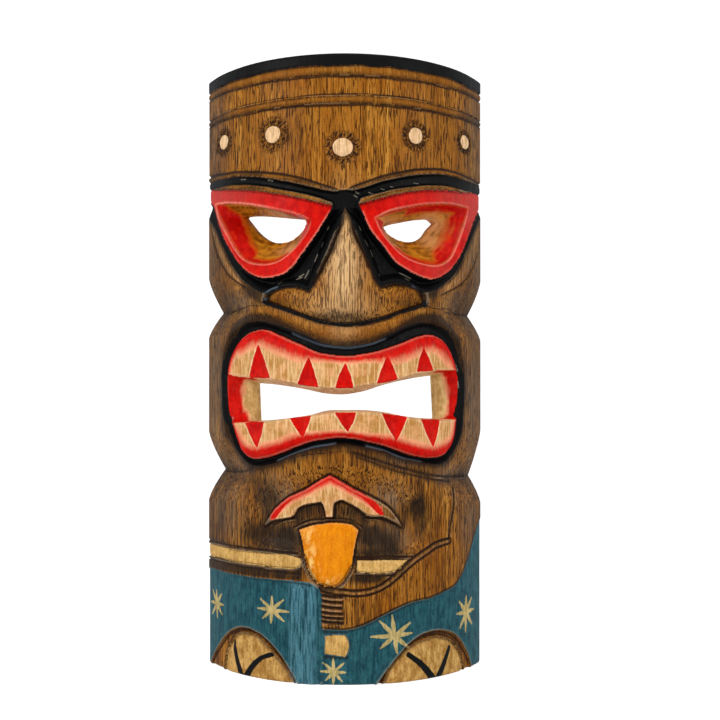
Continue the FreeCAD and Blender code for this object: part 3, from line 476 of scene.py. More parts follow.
def open_holes():
    """Which pairs of cells are kept, after the points on the border of each hole are moved
    onto its outline and their neighbours are spread evenly."""
    middle_s, middle_z = S[1::2, 1::2], Z[1::2, 1::2]
    kept = np.ones(middle_s.shape, bool)
    owner = np.full(middle_s.shape, -1)
    for number, loop in enumerate(hole_loops):
        within = distance_on(middle_s, middle_z, loop, reach=8.0) > 0
        kept &= ~within
        owner[within] = number
    touched, removed = np.zeros(S.shape, int), np.zeros(S.shape, int)
    for dj in (0, 1, 2):
        for di in (0, 1, 2):
            view = (slice(dj, dj + 2 * kept.shape[0] - 1, 2), slice(di, di + 2 * kept.shape[1] - 1, 2))
            touched[view] |= kept
            removed[view] = np.maximum(removed[view], owner + 1)
    border = (touched == 1) & (removed > 0)
    for number, loop in enumerate(hole_loops):
        dense = rounded(loop, parts=6, corner=20.0)
        for j, i in np.argwhere(border & (removed == number + 1)):
            nearest = np.argmin((dense[:, 0] - S[j, i]) ** 2 + (dense[:, 1] - Z[j, i]) ** 2)
            S[j, i], Z[j, i] = dense[nearest]
    band = union(*(distance_on(S, Z, loop, reach=8.0) for loop in hole_loops)) > -7.0
    inner = (band & (touched == 1) & ~border)[1:-1, 1:-1]
    for _ in range(40):
        for field in (S, Z):
            even = (field[:-2, 1:-1] + field[2:, 1:-1] + field[1:-1, :-2] + field[1:-1, 2:]) / 4
            field[1:-1, 1:-1][inner] = even[inner]
    return kept


def waves(size, seed, stretch=1.0):
    return ripple(S, Z, size, seed, stretch)


kept_pairs = open_holes()
THETA = S / LOG_RADIUS
X = LOG_RADIUS * np.sin(THETA)        # as seen from the front, where the outlines are drawn
ASIDE = np.abs(X)
WOBBLE_S = S + 0.45 * waves(17.0, 11) + 0.2 * waves(6.0, 12)
WOBBLE_Z = Z + 0.45 * waves(19.0, 13) + 0.2 * waves(6.5, 14)
NOTHING = np.zeros_like(S)
OUTSIDE = np.full_like(S, -REACH)


def inside(outline, sunk=0.0):
    """Signed distance to an outline, with a hand-cut edge. Sunk is how far below the log's
    surface the outline was seen."""
    return distance_on(WOBBLE_S, WOBBLE_Z, rounded(on_sheet(outline, LOG_RADIUS - sunk)))


def inside_any(outlines):
    return union(*map(inside, outlines))


def from_line(path):
    return distance_on(WOBBLE_S, WOBBLE_Z, rounded(on_sheet(path), closed=False), closed=False)


def above(path):
    """Signed height above a drawn line, measured square to it near by."""
    line = rounded(on_sheet(path), closed=False)
    level = np.interp(WOBBLE_S, line[:, 0], line[:, 1])
    gap = distance_on(WOBBLE_S, WOBBLE_Z, line, closed=False)
    return np.where(WOBBLE_Z > level, gap, -gap)


def floor(centre, edge=EDGE_FADE):
    """Depth of a flat-bottomed carving: centre at the log's crown, edge at its two sides."""
    chord, rise = HALF_WIDTH - edge, DEPTH - centre
    radius = (chord ** 2 + rise ** 2) / (2 * rise)
    offset = (BACK_Y - DEPTH + centre + radius) - AXIS_Y
    reach = -offset * np.cos(THETA) + np.sqrt(radius ** 2 - (offset * np.sin(THETA)) ** 2)
    return LOG_RADIUS - reach


def blurred(field, passes):
    soft = field.copy()
    for _ in range(passes):
        soft[1:-1] = (soft[:-2] + 2 * soft[1:-1] + soft[2:]) / 4
        soft[:, 1:-1] = (soft[:, :-2] + 2 * soft[:, 1:-1] + soft[:, 2:]) / 4
    return soft


def glow(patches):
    """The strongest of some soft patches, given as seen from the front."""
    return union(*(strength * bell(X - x, wide) * bell(Z - z, tall)
                   for x, z, wide, tall, strength in patches))


# ======== the carving: depths below the log's surface, and the dark stain and painted shade that go with them ===
depth = np.where(X < 0, waist_depth_at_side(Z, 0), waist_depth_at_side(Z, 1)) * smoothstep(66, 104, ASIDE)
depth += 0.35 * waves(26.0, 21, 2.2) * smoothstep(0, 10, HALF_WIDTH - ASIDE)
dark_stain_and_shade = NOTHING


def sink(region, to, wall=1.6):
    """Carves a region down to a floor, with a sloping wall inside its edge."""
    global depth
    depth = mix(depth, np.maximum(depth, to), smoothstep(0, wall, region))


def shape(region, to):
    """Gives the inside of a region a surface of its own."""
    global depth
    depth = np.where(region > 0, to, depth)


def groove(gap, width, deep, burr=0.25):
    """A V-shaped line with rounded shoulders and a slight burr along both sides."""
    global depth
    half = width / 2
    uneven = 1 + 0.3 * waves(2.8, 22)
    depth += deep * uneven * ramp(gap, half) ** 1.2
    depth -= burr * uneven * bell(gap - half * 1.35, 0.45 * half + 0.25)


def add_dark_stain_and_shade(amount):
    """Adds dark stain, and painted shade in the creases and hollows: amounts lie between 0 and 1 and build
    up like washes.
    """
    global dark_stain_and_shade
    dark_stain_and_shade = 1 - (1 - dark_stain_and_shade) * (1 - np.clip(amount, 0, 1))


def bead(bottom, top, flat):
    """Rounds the strip between two heights over into a bead."""
    global depth
    across = np.abs(2 * (Z - bottom) / (top - bottom) - 1)
    depth += np.where(across < 1, flat * across ** 2.4, 0)
    add_dark_stain_and_shade(0.9 * near(Z - bottom + 0.3, 0.9) + 0.5 * near(Z - top, 0.7))
    add_dark_stain_and_shade((0.34 + 0.3 * smoothstep(80, 112, ASIDE) - 0.14 * bell(across, 0.3)) * (across < 1))


# -- forehead: two painted panels with a bead above each --
wave = 0.5 * ripple(S, NOTHING + 7, 22.0, 31) + 0.3 * ripple(S, NOTHING + 3, 9.0, 32)
upper_low, upper_high = UPPER_PANEL[0] + wave, UPPER_PANEL[1] + wave[:, ::-1]
hatband_low = HATBAND_LOW + 0.8 * wave
rim_foot = RIM_FOOT + 0.9 * np.cos(THETA * 1.6) + 0.5 * ripple(S, NOTHING, 12.0, 33)
panel_foot = above(PANEL_FOOT)
sink(overlap(Z - upper_low, upper_high - Z), floor(2.6, 0.3), 1.2)
sink(overlap(hatband_low - Z, panel_foot), floor(2.6, 0.3), 1.2)
beads = ((upper_high, rim_foot, 1.5), (hatband_low, upper_low, 1.7))
for bottom, top, flat in beads:
    bead(bottom, top, flat)
off_sides = smoothstep(113, 103, ASIDE)
for height, width, deep in ((upper_high - 0.4, 1.8, 1.1), (hatband_low - 0.4, 1.8, 1.1),
                            (rim_foot, 1.6, 0.8)):
    groove(np.abs(Z - height), width, deep * off_sides, 0.0)

# -- studs: a pale disc in a ring of gouged bark --
disc = OUTSIDE
bark = waves(1.5, 43)
for x, z, radius, ring in STUDS:
    aspect = 1.14 if abs(x) < 10 else 0.97
    away = np.hypot(WOBBLE_S - arc_to(x), (WOBBLE_Z - z) * aspect)
    turn = np.arctan2(WOBBLE_Z - z, WOBBLE_S - arc_to(x))
    rough = ripple(turn * 21 + 90, away / 2 + 50, 1.0, 42)
    edge = ring * (1 + 0.08 * ripple(turn * 9 + 60, NOTHING + x + 200, 1.0, 41 + int(x) % 7))
    trough = ramp(np.abs(away - (radius + edge) / 2 - 0.3), (edge - radius) / 2 + 0.2)
    depth += (1.2 + 0.4 * rough + 0.5 * bark) * trough ** 0.7
    depth -= 0.9 * smoothstep(radius + 0.6, radius - 1.2, away)
    depth += 0.4 * rough * smoothstep(ring * 1.2, ring, away) * smoothstep(radius, radius + 1.5, away)
    add_dark_stain_and_shade((0.42 + 0.2 * rough + 0.25 * bark) * smoothstep(ring * 1.12, ring * 0.8, away)
           * smoothstep(radius - 0.6, radius, away))
    add_dark_stain_and_shade(0.4 * near(away - edge, 0.9))
    add_dark_stain_and_shade(0.7 * near(away - radius - 0.4, 0.7))
    disc = union(disc, radius - away)

# -- brows, and the bare strip between the panel, the brows and the eyes --
brow = inside_any((BROW_LEFT, BROW_RIGHT, BROW_KNOT))
groove(np.abs(panel_foot), 2.4, 0.6, 0.3)
add_dark_stain_and_shade(0.8 * near(panel_foot, 1.3))
sink(brow + 0.6, floor(5.6), 2.6)
frames = [inside(outline) for outline in EYE_FRAMES]
either_frame = union(*frames)
strip = np.where(Z > 374, overlap(-panel_foot, -brow, -either_frame), REACH)
depth += 1.2 * bell(strip, 1.1)
add_dark_stain_and_shade(bell(strip, 0.9))

# -- the faces round the eyes, the nose and the valleys between them --
nose, valley = inside(NOSE), inside(VALLEY)
frame_face = floor(3.0, 1.6)
dug = mix(4.0, floor(12.5, 3.5) * smoothstep(-1.0, 8.0, valley), smoothstep(-3, 7, -nose))
dug = mix(frame_face, dug, smoothstep(0.0, 2.6, -either_frame))
shape((valley > 0) & (nose < 0) & (either_frame < 0), np.maximum(depth, dug))
for frame_in in frames:
    shape(frame_in, frame_face + 0.8 * ramp(frame_in, 2.4) ** 2)
nose_top = floor(0.6) + 3.4 * ramp(nose, 13.0) ** 1.7 + 1.6 * smoothstep(27, 60, ASIDE)
nose_top += ramp(nose, 2.2) ** 2 * smoothstep(316, 306, Z)
shape(nose, np.maximum(nose_top, 0.4 * depth))

# -- eye sockets: each is ruled from its rim to its hole, with marks swept round it --
in_socket, swirl = OUTSIDE, NOTHING
socket_rims = [inside(outline) for outline in SOCKET_RIMS]
for rim, hole in zip(socket_rims, hole_loops):
    soft_rim, soft_opening = blurred(rim, 30), blurred(distance_on(S, Z, hole), 12)
    t = np.clip(soft_rim / (soft_rim - soft_opening + 1e-6), 0, 1)
    shape(rim, mix(frame_face + 0.4, HOLE_DEPTH, t ** 0.92) + waves(4.0, 51) * t * (1 - t))
    depth -= 0.4 * bell(rim + 0.4, 0.9)
    around = np.arctan2(Z - hole[:, 1].mean(), S - hole[:, 0].mean()) * 26.0
    swept = 0.6 * ripple(around, t * 16, 16.0, 52, 0.1) + 0.4 * ripple(around, t * 16, 6.0, 53, 0.18)
    swirl = np.where(rim > 0, swept + 0.3 * waves(5.0, 54), swirl)
    in_socket = union(in_socket, rim)

# -- the moulding under the nose, and the lines over the cheeks --
moulding_depth = floor(2.6, 1.0) + 3.2 * smoothstep(1.0, 9.0, from_line(MOULDING_CREST))
on_moulding = (smoothstep(84, 50, ASIDE) * smoothstep(306, 298, Z) * (above(MOULDING_FOOT) > -3)
               * smoothstep(0.5, -2.5, nose))
depth = mix(depth, np.maximum(depth, moulding_depth), on_moulding)
groove(np.where(Z > 308, REACH, np.abs(nose + 0.6)), 3.0, 1.8, 0.0)
for line, burr in zip(NOSE_CREASES, (0.3, 0.4)):
    groove(from_line(line), 1.8, 0.9, burr)
for line, strength in zip(CHEEK_LINES, (0.85, 0.3)):
    gap = from_line(line)
    groove(gap, 3.0, 0.9, 0.3)
    add_dark_stain_and_shade(strength * near(gap, 1.4))

# -- mouth: the channel, the lips with the gaps between the teeth, and the bevel to the hole --
channel, lips = inside(CHANNEL), inside(LIPS, LIPS_SUNK)
sink(overlap(channel, 0.6 - lips), floor(9.5, 6.0) * smoothstep(-1.5, 6.0, channel), 0.8)
shape(lips, floor(2.0, 1.2) + 3.6 * ramp(lips, 8.0) ** 2)
tooth_gap = OUTSIDE
for (px, pz), (ax, az), (bx, bz) in TOOTH_GAPS:
    bulge = 0.7 if ax < bx else -0.7
    swollen = [(px, pz), ((px + ax) / 2 - bulge, (pz + az) / 2), (ax, az), (bx, bz),
               ((px + bx) / 2 + bulge, (pz + bz) / 2)]
    sharp = distance_on(WOBBLE_S, WOBBLE_Z, on_sheet(swollen, LOG_RADIUS - GAPS_SUNK))
    tooth_gap = union(tooth_gap, sharp)
    shape(sharp, depth + 0.7 * smoothstep(0, 1.0, sharp) + 0.3 * sharp)
    depth -= 0.3 * bell(sharp + 0.9, 0.7) * (lips > 0)
mouth, mouth_opening = inside(MOUTH, MOUTH_SUNK), distance_on(S, Z, hole_loops[2])
on_bevel = (mouth > 0) & (lips > 0)
t_mouth = np.clip(mouth / (mouth - mouth_opening + 1e-6), 0, 1)
shape(on_bevel, np.maximum(mix(floor(3.4, 2.4), HOLE_DEPTH, t_mouth), depth))
for line in MOUTH_CREASES:
    groove(from_line(line), 1.4, 0.7, 0.3)

# -- the small figure under the chin --
chin_edge, chin = from_line(CHIN_EDGE), inside(CHIN_HOLLOW)
groove(chin_edge, 2.2, 0.8, 0.4)
for line in CHIN_LINES:
    groove(from_line(line), 1.8, 0.8, 0.4)
roof, mug, arms = inside(ROOF), inside(MUG, MUG_SUNK), inside_any(ARMS)
hollowed = floor(6.4, 3.0) * smoothstep(-6.0, 13.0, chin)
shape(union(roof, mug, arms) < 0, np.maximum(depth, hollowed))
shape(roof, floor(1.6) + 1.2 * ramp(roof, 2.0) ** 2 + 1.2 * smoothstep(150, 134, Z))
shape(mug, floor(1.2) + 3.4 * ramp(mug, 13.0) ** 2.2)
shape(arms, floor(1.3) + 0.9 * ramp(arms, 2.4) ** 2)
for region in (roof, mug):
    groove(np.abs(region + 0.9), 2.0, 1.0, 0.25)
for line in (*LID_LINES, *ARM_LINES):
    groove(from_line(line), 2.2, 1.2, 0.4)
body_cut, body_bead = from_line(BODY_CUT), from_line(BODY_BEAD)
groove(body_cut, 3.2, 2.2, 0.4)
depth += 1.5 * bell(body_bead - 2.2, 1.1) - 0.8 * bell(body_bead, 1.2)
ribs = overlap(*(from_line([(RIB_FROM, height + 1.0), (-11, height), (RIB_TO, height - 0.5)])
                 for height in RIB_HEIGHTS))
groove(ribs, 3.4, 2.2, 0.0)
add_dark_stain_and_shade(bell(ribs, 1.2 + 0.3 * waves(4.0, 75)))

# -- robe, sash and feet --
robe_left, robe_right, sash = inside(ROBE_LEFT), inside(ROBE_RIGHT), inside(SASH)
robe, arches, feet = union(robe_left, robe_right), inside_any(FOOT_ARCHES), inside_any(FEET)
sink(overlap(robe, -arches, -sash), floor(2.0), 2.0)
fold = ramp(np.abs(X - ROBE_FOLD), ROBE_FOLD_HALF)
depth -= 1.7 * smoothstep(0, 0.55, fold) * (robe_left > 0) * smoothstep(82, 74, Z)
groove(np.where(np.abs(X + 19) > 2, REACH, np.abs(robe_left)), 2.2, 1.4, 0.2)
sink(overlap(arches, -feet), floor(4.2, 2.2), 1.8)
shape(feet, floor(0.9) + 2.4 * ramp(feet, 7.0) ** 2)
depth += bell(Z - 21.5, 1.8) * (X > -17) * (X < 3)
shape(sash, floor(1.0) + 0.6 * ramp(sash, 2.0) ** 2)

# -- edges of the block and the marks of the tools --
depth += 1.1 * ramp(TOP - Z, 1.8) ** 2 + 1.1 * ramp(Z, 1.8) ** 2
rough_floor = smoothstep(3.0, 8.0, depth) * (ASIDE < 108) * (1 - 0.75 * smoothstep(-12, 4, chin))
depth += rough_floor * (0.28 * waves(3.4, 61) + 0.16 * waves(1.9, 62))
depth = np.maximum(depth + 0.06 * waves(1.6, 63, 6.0), 0.0)


# ======== paint: signed distances in millimetres ========
# -- black --
black_valley = overlap(valley + 1.2 - 1.6 * smoothstep(60, 90, ASIDE), 0.4 - nose)
lip_ring = overlap(channel - 1.4 - 0.8 * waves(9.0, 71), -lips)
lip_edge = overlap(0.2 + smoothstep(84, 92, ASIDE) - lips, 3.0 + lips + 0.6 * waves(5.0, 76))
# black paint along the nose's lower edge, also standing for the shadow under its overhang
under_nose_black_and_shadow = 1.1 + 0.5 * waves(5.0, 72) - np.abs(nose + 0.8)
black = union(Z - rim_foot, brow, np.where(either_frame < 0.3, black_valley, -REACH), lip_ring, lip_edge,
              np.where((Z < 309) & (ASIDE < 67), under_nose_black_and_shadow, -REACH))
for path, width_start, width_stop in FOOT_STROKES:
    line = rounded(on_sheet(path), closed=False)
    along = np.clip((path[0][1] - Z) / (path[0][1] - path[-1][1]), 0, 1)
    black = union(black, mix(width_start, width_stop, along) / 2 - distance_on(S, Z, line, closed=False))

# -- red: the faces round the eyes, parts of the sockets and of the roof, the gaps of the teeth --
red = either_frame
for rim in socket_rims:
    red = np.where(rim > 0, -rim, red)
towards_tips = smoothstep(-38, -58, X) + smoothstep(12, 27, X)
roof_cream, from_roof_top = inside(ROOF_CREAM), from_line(ROOF_TOP)
roof_red = overlap(roof, 2.6 + 2.6 * towards_tips - from_roof_top, 33 - 0.75 * (Z - 134) - X,
                   roof_cream + 0.7)
red = union(red, roof_red, tooth_gap + 0.3)
socket_red = union(smoothstep(-42, -36, X) * (X < 0), smoothstep(38, 32, X) * (X > 0)) * (Z < 370)
for path, red_to, clear_from in SOCKET_REDS:
    socket_red = union(socket_red, smoothstep(clear_from, red_to, from_line(path)))

# -- cream: the teeth, with a red blush from the lips' edge, and the roof's trim --
cream = union(np.where(lips > -0.4, lips + 0.4, -REACH), roof_cream,
              np.where(mouth_opening > -30, overlap(mouth, lips + 0.4), -REACH))
fade = 5.0 + np.where(Z > 228, 5.8, 3.6) * smoothstep(12, 50, ASIDE) * (1 - 0.7 * smoothstep(82, 92, ASIDE))
blush = np.where((lips > -1) & ~on_bevel, np.clip(1.6 - lips / fade, 0, 1), 0)
bevel_red = smoothstep(0.62, 0.36, t_mouth + 0.12 * waves(9.0, 77)) * (ASIDE > 78) * on_bevel
roof_blush = np.where(roof_cream > 0, smoothstep(7.5, 2.5, from_roof_top) * 0.75, 0)
blush = union(blush, bevel_red, roof_blush)
olive = smoothstep(0.3, 0.55, t_mouth) * smoothstep(60, 70, ASIDE) * on_bevel
# painted highlight along the teeth's edges beside the gaps
tooth_edge_highlight = bell(tooth_gap + 0.7, 0.55) * (lips > 0)

# -- gold, orange and blue, and the stars on the robe --
gold = union(arms, feet - 0.2, sash)
dull = smoothstep(-1, 1, feet)
orange = mug - 0.4
blue = overlap(robe, -arches)
stars = OUTSIDE
for number, (x, z, wide, tall) in enumerate(STARS):
    rng = np.random.default_rng(80 + number)
    core = np.array([arc_to(x), z])
    wide_s = wide / math.cos(math.asin(x / LOG_RADIUS))
    for arm in range(8):
        turn = math.radians(45 * arm + 90 + rng.uniform(-7, 7))
        size = rng.uniform(0.78, 1.05)
        reach = np.array([wide_s * size * math.cos(turn), tall * size * math.sin(turn)])
        ray = distance_on(S, Z, np.array([core, core + reach]), closed=False, reach=20.0)
        out = np.clip(np.hypot(S - core[0], Z - core[1]) / np.linalg.norm(reach), 0, 1)
        swell = mix(0.6 + 0.55 * np.sin(math.pi * out), 0.5, out ** 4)
        stars = union(stars, (0.3 + 0.08 * tall) * swell - ray)
stars = np.where(robe > 0, stars, -REACH)

# ======== stain and painted shade: how strong each wash is, from 0 to 1 ===
# -- dark stain and painted shade in the valleys, the channel and the grooves --
for gap, reach, strength in ((body_cut, 1.7, 1.0), (ribs, 1.0, 1.0), (chin_edge, 2.5, 0.35)):
    add_dark_stain_and_shade(strength * near(gap, reach))
add_dark_stain_and_shade(bell(body_bead - 2.2, 1.1))
add_dark_stain_and_shade(smoothstep(-3.5, 1.4, channel) * (lips < 0))
add_dark_stain_and_shade(smoothstep(-3.0, 1.5, valley) * (nose < 0) * (either_frame < 0) * (Z < 400))
add_dark_stain_and_shade(smoothstep(7.0, -0.5, nose) * (nose > -8) * smoothstep(312, 318, Z) * (either_frame < 0))
# dark along the nose's lower edge: painted shadow under its overhang
add_dark_stain_and_shade(bell(nose + 0.6, 1.9) * smoothstep(309, 305, Z))
add_dark_stain_and_shade(0.5 * near(nose, 5.0) * (nose > 0) * smoothstep(300, 290, Z) * smoothstep(60, 10, np.abs(X + 8)))
for line in (*CHIN_LINES, *LID_LINES, *ARM_LINES):
    add_dark_stain_and_shade(0.7 * near(from_line(line), 1.8))
for region in (roof, mug, arms, sash):
    add_dark_stain_and_shade(0.85 * near(region + 0.8, 1.5))
add_dark_stain_and_shade(bell(robe_right + 0.8, 1.1) * (Z > 30))
add_dark_stain_and_shade(0.9 * bell(arches, 0.9) + 0.8 * bell(feet, 0.7))

# -- dark stain round the channel and along the sides; painted shade in the waists and under the roof --
beside_channel = smoothstep(40, 66, ASIDE) * smoothstep(100, 88, ASIDE) * (Z > 255) * smoothstep(300, 293, Z)
add_dark_stain_and_shade(smoothstep(8, 0.5, -channel) * (channel < 0) * beside_channel)
add_dark_stain_and_shade(0.5 * smoothstep(9, 1, -channel) * (channel < 0) * (Z < 300))
add_dark_stain_and_shade(0.5 * smoothstep(3.5, 0, -valley) * (nose < 0) * (Z < 380) * (Z > 300) * (in_socket < 0))
add_dark_stain_and_shade(0.42 * smoothstep(88, 110, ASIDE) * (robe < 0) * (Z < 484))
add_dark_stain_and_shade(0.75 * smoothstep(92.5, 89.5, Z) * smoothstep(81, 84, Z) * smoothstep(-32, -37, X))
add_dark_stain_and_shade(0.5 * smoothstep(0, 3, inside(UNDER_ROOF)) * (roof < 0) * (mug < 0))
for outwards, waists in zip((-X, X), WAISTS):
    for height, _, _, _ in waists:
        add_dark_stain_and_shade(0.5 * np.exp(-(np.abs(Z - height) / 9.0) ** 1.5) * smoothstep(52, 100, outwards))
for patch in STAINED_AND_SHADED_PATCHES:
    add_dark_stain_and_shade(glow([patch]))

# -- the strip over the brows and the two beads, sanded to a golden tone --
sanded = smoothstep(0.7, 1.8, strip) * (strip < REACH - 1)
amber = union(glow(AMBER), 0.8 * sanded)
striped = ripple(S, panel_foot * 10, 15.0, 73)
add_dark_stain_and_shade((0.34 + 0.36 * smoothstep(-0.2, 0.5, striped) - 0.2 * smoothstep(0.1, 0.5, -striped)) * sanded)
for bottom, top, _ in beads:
    on_bead = smoothstep(0.3, 1.6, overlap(Z - bottom, top - Z))
    amber = union(amber, 0.8 * on_bead)
    sanded = union(sanded, 0.7 * on_bead)
sanded = union(sanded, 0.5 * bell(body_bead, 1.0), 0.4 * on_moulding * (channel < 0))
add_dark_stain_and_shade(0.3 * bell(body_bead, 1.2) * (0.8 + 0.6 * waves(3.0, 74)))

# -- light tones, and grey tones that are partly stain and partly painted sheen --
bands = bell(overlap(*map(from_line, CHEEK_BANDS)), 4.0)
amber = union(amber * smoothstep(114, 98, ASIDE), bands)
grey_sheen_and_stain = glow(GREY_SHEEN_AND_STAIN) * (1 - 0.8 * bands)
pale = union(glow(PALE), 0.3 * bands, 0.3 * bell(body_bead, 0.7))
golden = smoothstep(0.0, 1.5, in_socket)
# peach: partly bare wood, partly painted highlight
peach = glow(PEACH) * golden
sunny = glow(SUNNY)
# painted highlight on the robe's raised fold
fold_highlight = smoothstep(0.02, 0.5, fold) * (robe_left > 0)
striped_wood = smoothstep(168, 150, Z) + 0.5 * smoothstep(96, 110, ASIDE) * (Z < 300)

# -- how far each place lies in a hollow (positive) or on an edge (negative): painted shade goes into the hollows and a painted highlight onto the edges --
hollow_shade_edge_light = np.clip((depth - blurred(depth, 5)) / 0.55, -1, 1)
hollow_shade_edge_light = hollow_shade_edge_light * (1 - 0.85 * np.maximum(golden, (tooth_gap > 0) | on_bevel))
hollow_shade_edge_light = np.where((np.abs(channel) < 5) & (lips < 0), np.clip(hollow_shade_edge_light, 0, 1), hollow_shade_edge_light)
hollow_shade_edge_light = np.where((sanded > 0.1) & (hollow_shade_edge_light < 0), 0.35 * hollow_shade_edge_light, hollow_shade_edge_light)

# -- small touches: painted highlights on the rims, paler red with painted sheen, chips and painted glints in the black, and painted sheen on it --
# painted highlight along the socket rims and the frames' lower edges
rim_highlight_left = ((0.5 + 0.5 * smoothstep(380, 384, Z)) * (1 - smoothstep(-66, -56, X) * (Z > 362))
               * smoothstep(-34, -44, X))
rim_highlight_right = 0.5 - 0.4 * smoothstep(42, 52, X) * smoothstep(104, 98, X) * (Z > 372)
rim_highlight = union(np.where(X < 0, rim_highlight_left, rim_highlight_right) * bell(in_socket + 0.1, 0.6),
                 0.35 * bell(either_frame - 0.9, 0.6) * (Z < 376))
# paler red: painted sheen over the upper outer parts of the frames, and a duller red low on the right frame
sheen_and_dull_red = union(smoothstep(56, 100, ASIDE) * smoothstep(362, 382, Z), glow([(80, 332, 14, 10, 0.8)]))
# pale chips and scratches, some of them painted glints on the black
chips_and_glints = OUTSIDE
for ends in CHIPS_AND_GLINTS:
    chips_and_glints = union(chips_and_glints, 0.42 - distance_on(S, Z, on_sheet(ends), closed=False, reach=4.0))
# painted sheen: bluish reflections painted along the creases and over the lips
painted_sheen = bell(overlap(*map(from_line, PAINTED_SHEEN_LINES)), 0.7)

attributes = {
    "black": black, "red": red, "cream": cream, "gold": gold, "orange": orange, "blue": blue, "disc": disc,
    "blush": blush, "socket_red": socket_red, "dark_stain_and_shade": dark_stain_and_shade, "hollow_shade_edge_light": hollow_shade_edge_light, "amber": amber, "pale": pale,
    "fold": fold_highlight, "star": stars, "grey_sheen_and_stain": grey_sheen_and_stain, "golden": golden, "peach": peach, "chips_and_glints": chips_and_glints,
    "painted_sheen": painted_sheen, "sunny": sunny, "olive": olive, "sanded": sanded, "swirl": swirl, "rim_highlight": rim_highlight,
    "sheen_and_dull_red": sheen_and_dull_red, "dull": dull, "tooth_edge_highlight": tooth_edge_highlight, "striped_wood": striped_wood,
}


# ======== the mesh ========
def back_radius(theta, z):
    """Distance from the log's axis to the back of the wood: the flat back, the hollow with
    its rounded ends, and the hanger's pocket."""
    flat = BACK_FROM_AXIS / np.cos(theta)
    from_end = np.minimum(z - HOLLOW_LOW, HOLLOW_HIGH - z)
    scoop = HOLLOW_RADIUS - HOLLOW_END + HOLLOW_END * np.sqrt(1 - ramp(from_end, HOLLOW_END) ** 2)
    pocket = (BACK_FROM_AXIS + POCKET_DEPTH) / np.cos(theta)
    in_pocket = (np.abs(pocket * np.sin(theta)) < POCKET_HALF_WIDTH) & (z > POCKET_LOW) & (z < POCKET_HIGH)
    return np.where(in_pocket, pocket, np.where((from_end > 0) & (scoop > flat), scoop, flat))


def at(radius, theta, z):
    return np.stack([radius * np.sin(theta), AXIS_Y - radius * np.cos(theta), z], axis=-1)


def mask_mesh():
    """Points, values on them, and the faces of the front, the back and the walls between."""
    front_radius = LOG_RADIUS - depth
    scale_left = -angle_at_back(front_radius[:, :1]) / THETA[:, :1]
    scale_right = angle_at_back(front_radius[:, -1:]) / THETA[:, -1:]
    theta = THETA * np.where(THETA < 0, scale_left, scale_right)
    front = at(front_radius, theta, Z)
    front[..., 1] = np.minimum(front[..., 1], BACK_Y)
    back = at(back_radius(theta[::2, ::2], Z[::2, ::2]), theta[::2, ::2], Z[::2, ::2])
    back[:, 0], back[:, -1] = front[::2, 0], front[::2, -1]

    front_id = np.arange(Z.size).reshape(Z.shape)
    back_id = Z.size + np.arange(back[..., 0].size).reshape(back.shape[:2])
    back_id[:, 0], back_id[:, -1] = front_id[::2, 0], front_id[::2, -1]
    j, i = np.nonzero(np.repeat(np.repeat(kept_pairs, 2, 0), 2, 1))
    front_faces = np.stack([front_id[j, i], front_id[j, i + 1],
                            front_id[j + 1, i + 1], front_id[j + 1, i]], 1)
    back_faces, wall_faces = [], []
    pair_rows, pair_columns = kept_pairs.shape
    for q, p in np.argwhere(kept_pairs):
        j, i = 2 * q, 2 * p
        corners = [back_id[q, p], back_id[q + 1, p], back_id[q + 1, p + 1], back_id[q, p + 1]]
        if p == 0:
            corners.insert(1, front_id[j + 1, 0])
        if p == pair_columns - 1:
            corners.insert(len(corners) - 1, front_id[j + 1, -1])
        back_faces.append(corners)
        sides = (
            ((q - 1, p), (j, i), (j, i + 1), (j, i + 2)),
            ((q, p + 1), (j, i + 2), (j + 1, i + 2), (j + 2, i + 2)),
            ((q + 1, p), (j + 2, i + 2), (j + 2, i + 1), (j + 2, i)),
            ((q, p - 1), (j + 2, i), (j + 1, i), (j, i)),
        )
        for (row, column), a, m, b in sides:
            past_side = column < 0 or column >= pair_columns
            if past_side or (0 <= row < pair_rows and kept_pairs[row, column]):
                continue
            loop = [front_id[b], front_id[m], front_id[a],
                    back_id[a[0] // 2, a[1] // 2], back_id[b[0] // 2, b[1] // 2]]
            wall_faces.append([v for k, v in enumerate(loop) if v != loop[k - 1]])
    points = np.vstack([front.reshape(-1, 3), back.reshape(-1, 3)]) * MM
    values = {name: np.concatenate([field.ravel(), field[::2, ::2].ravel()])
              for name, field in attributes.items()}
    return points, values, front_faces, back_faces, wall_faces


def wall_places(sizes):
    """Places on the bake's map of the faces between front and back, each in a cell of its own
    in a strip above the two halves."""
    strip, cells = 0.88, 60
    spots = ((0.1, 0.9), (0.5, 0.9), (0.9, 0.9), (0.9, 0.1), (0.1, 0.1))
    tall = (1 - strip - 0.01) / 24
    places = []
    for number, size in enumerate(sizes):
        row, column = divmod(number, cells)
        places += [((column + a) / cells, strip + 0.008 + (row + b) * tall) for a, b in spots[:size]]
    return places


def put_in_scene(name, data):
    thing = bpy.data.objects.new(name, data)
    bpy.context.scene.collection.objects.link(thing)
    return thing


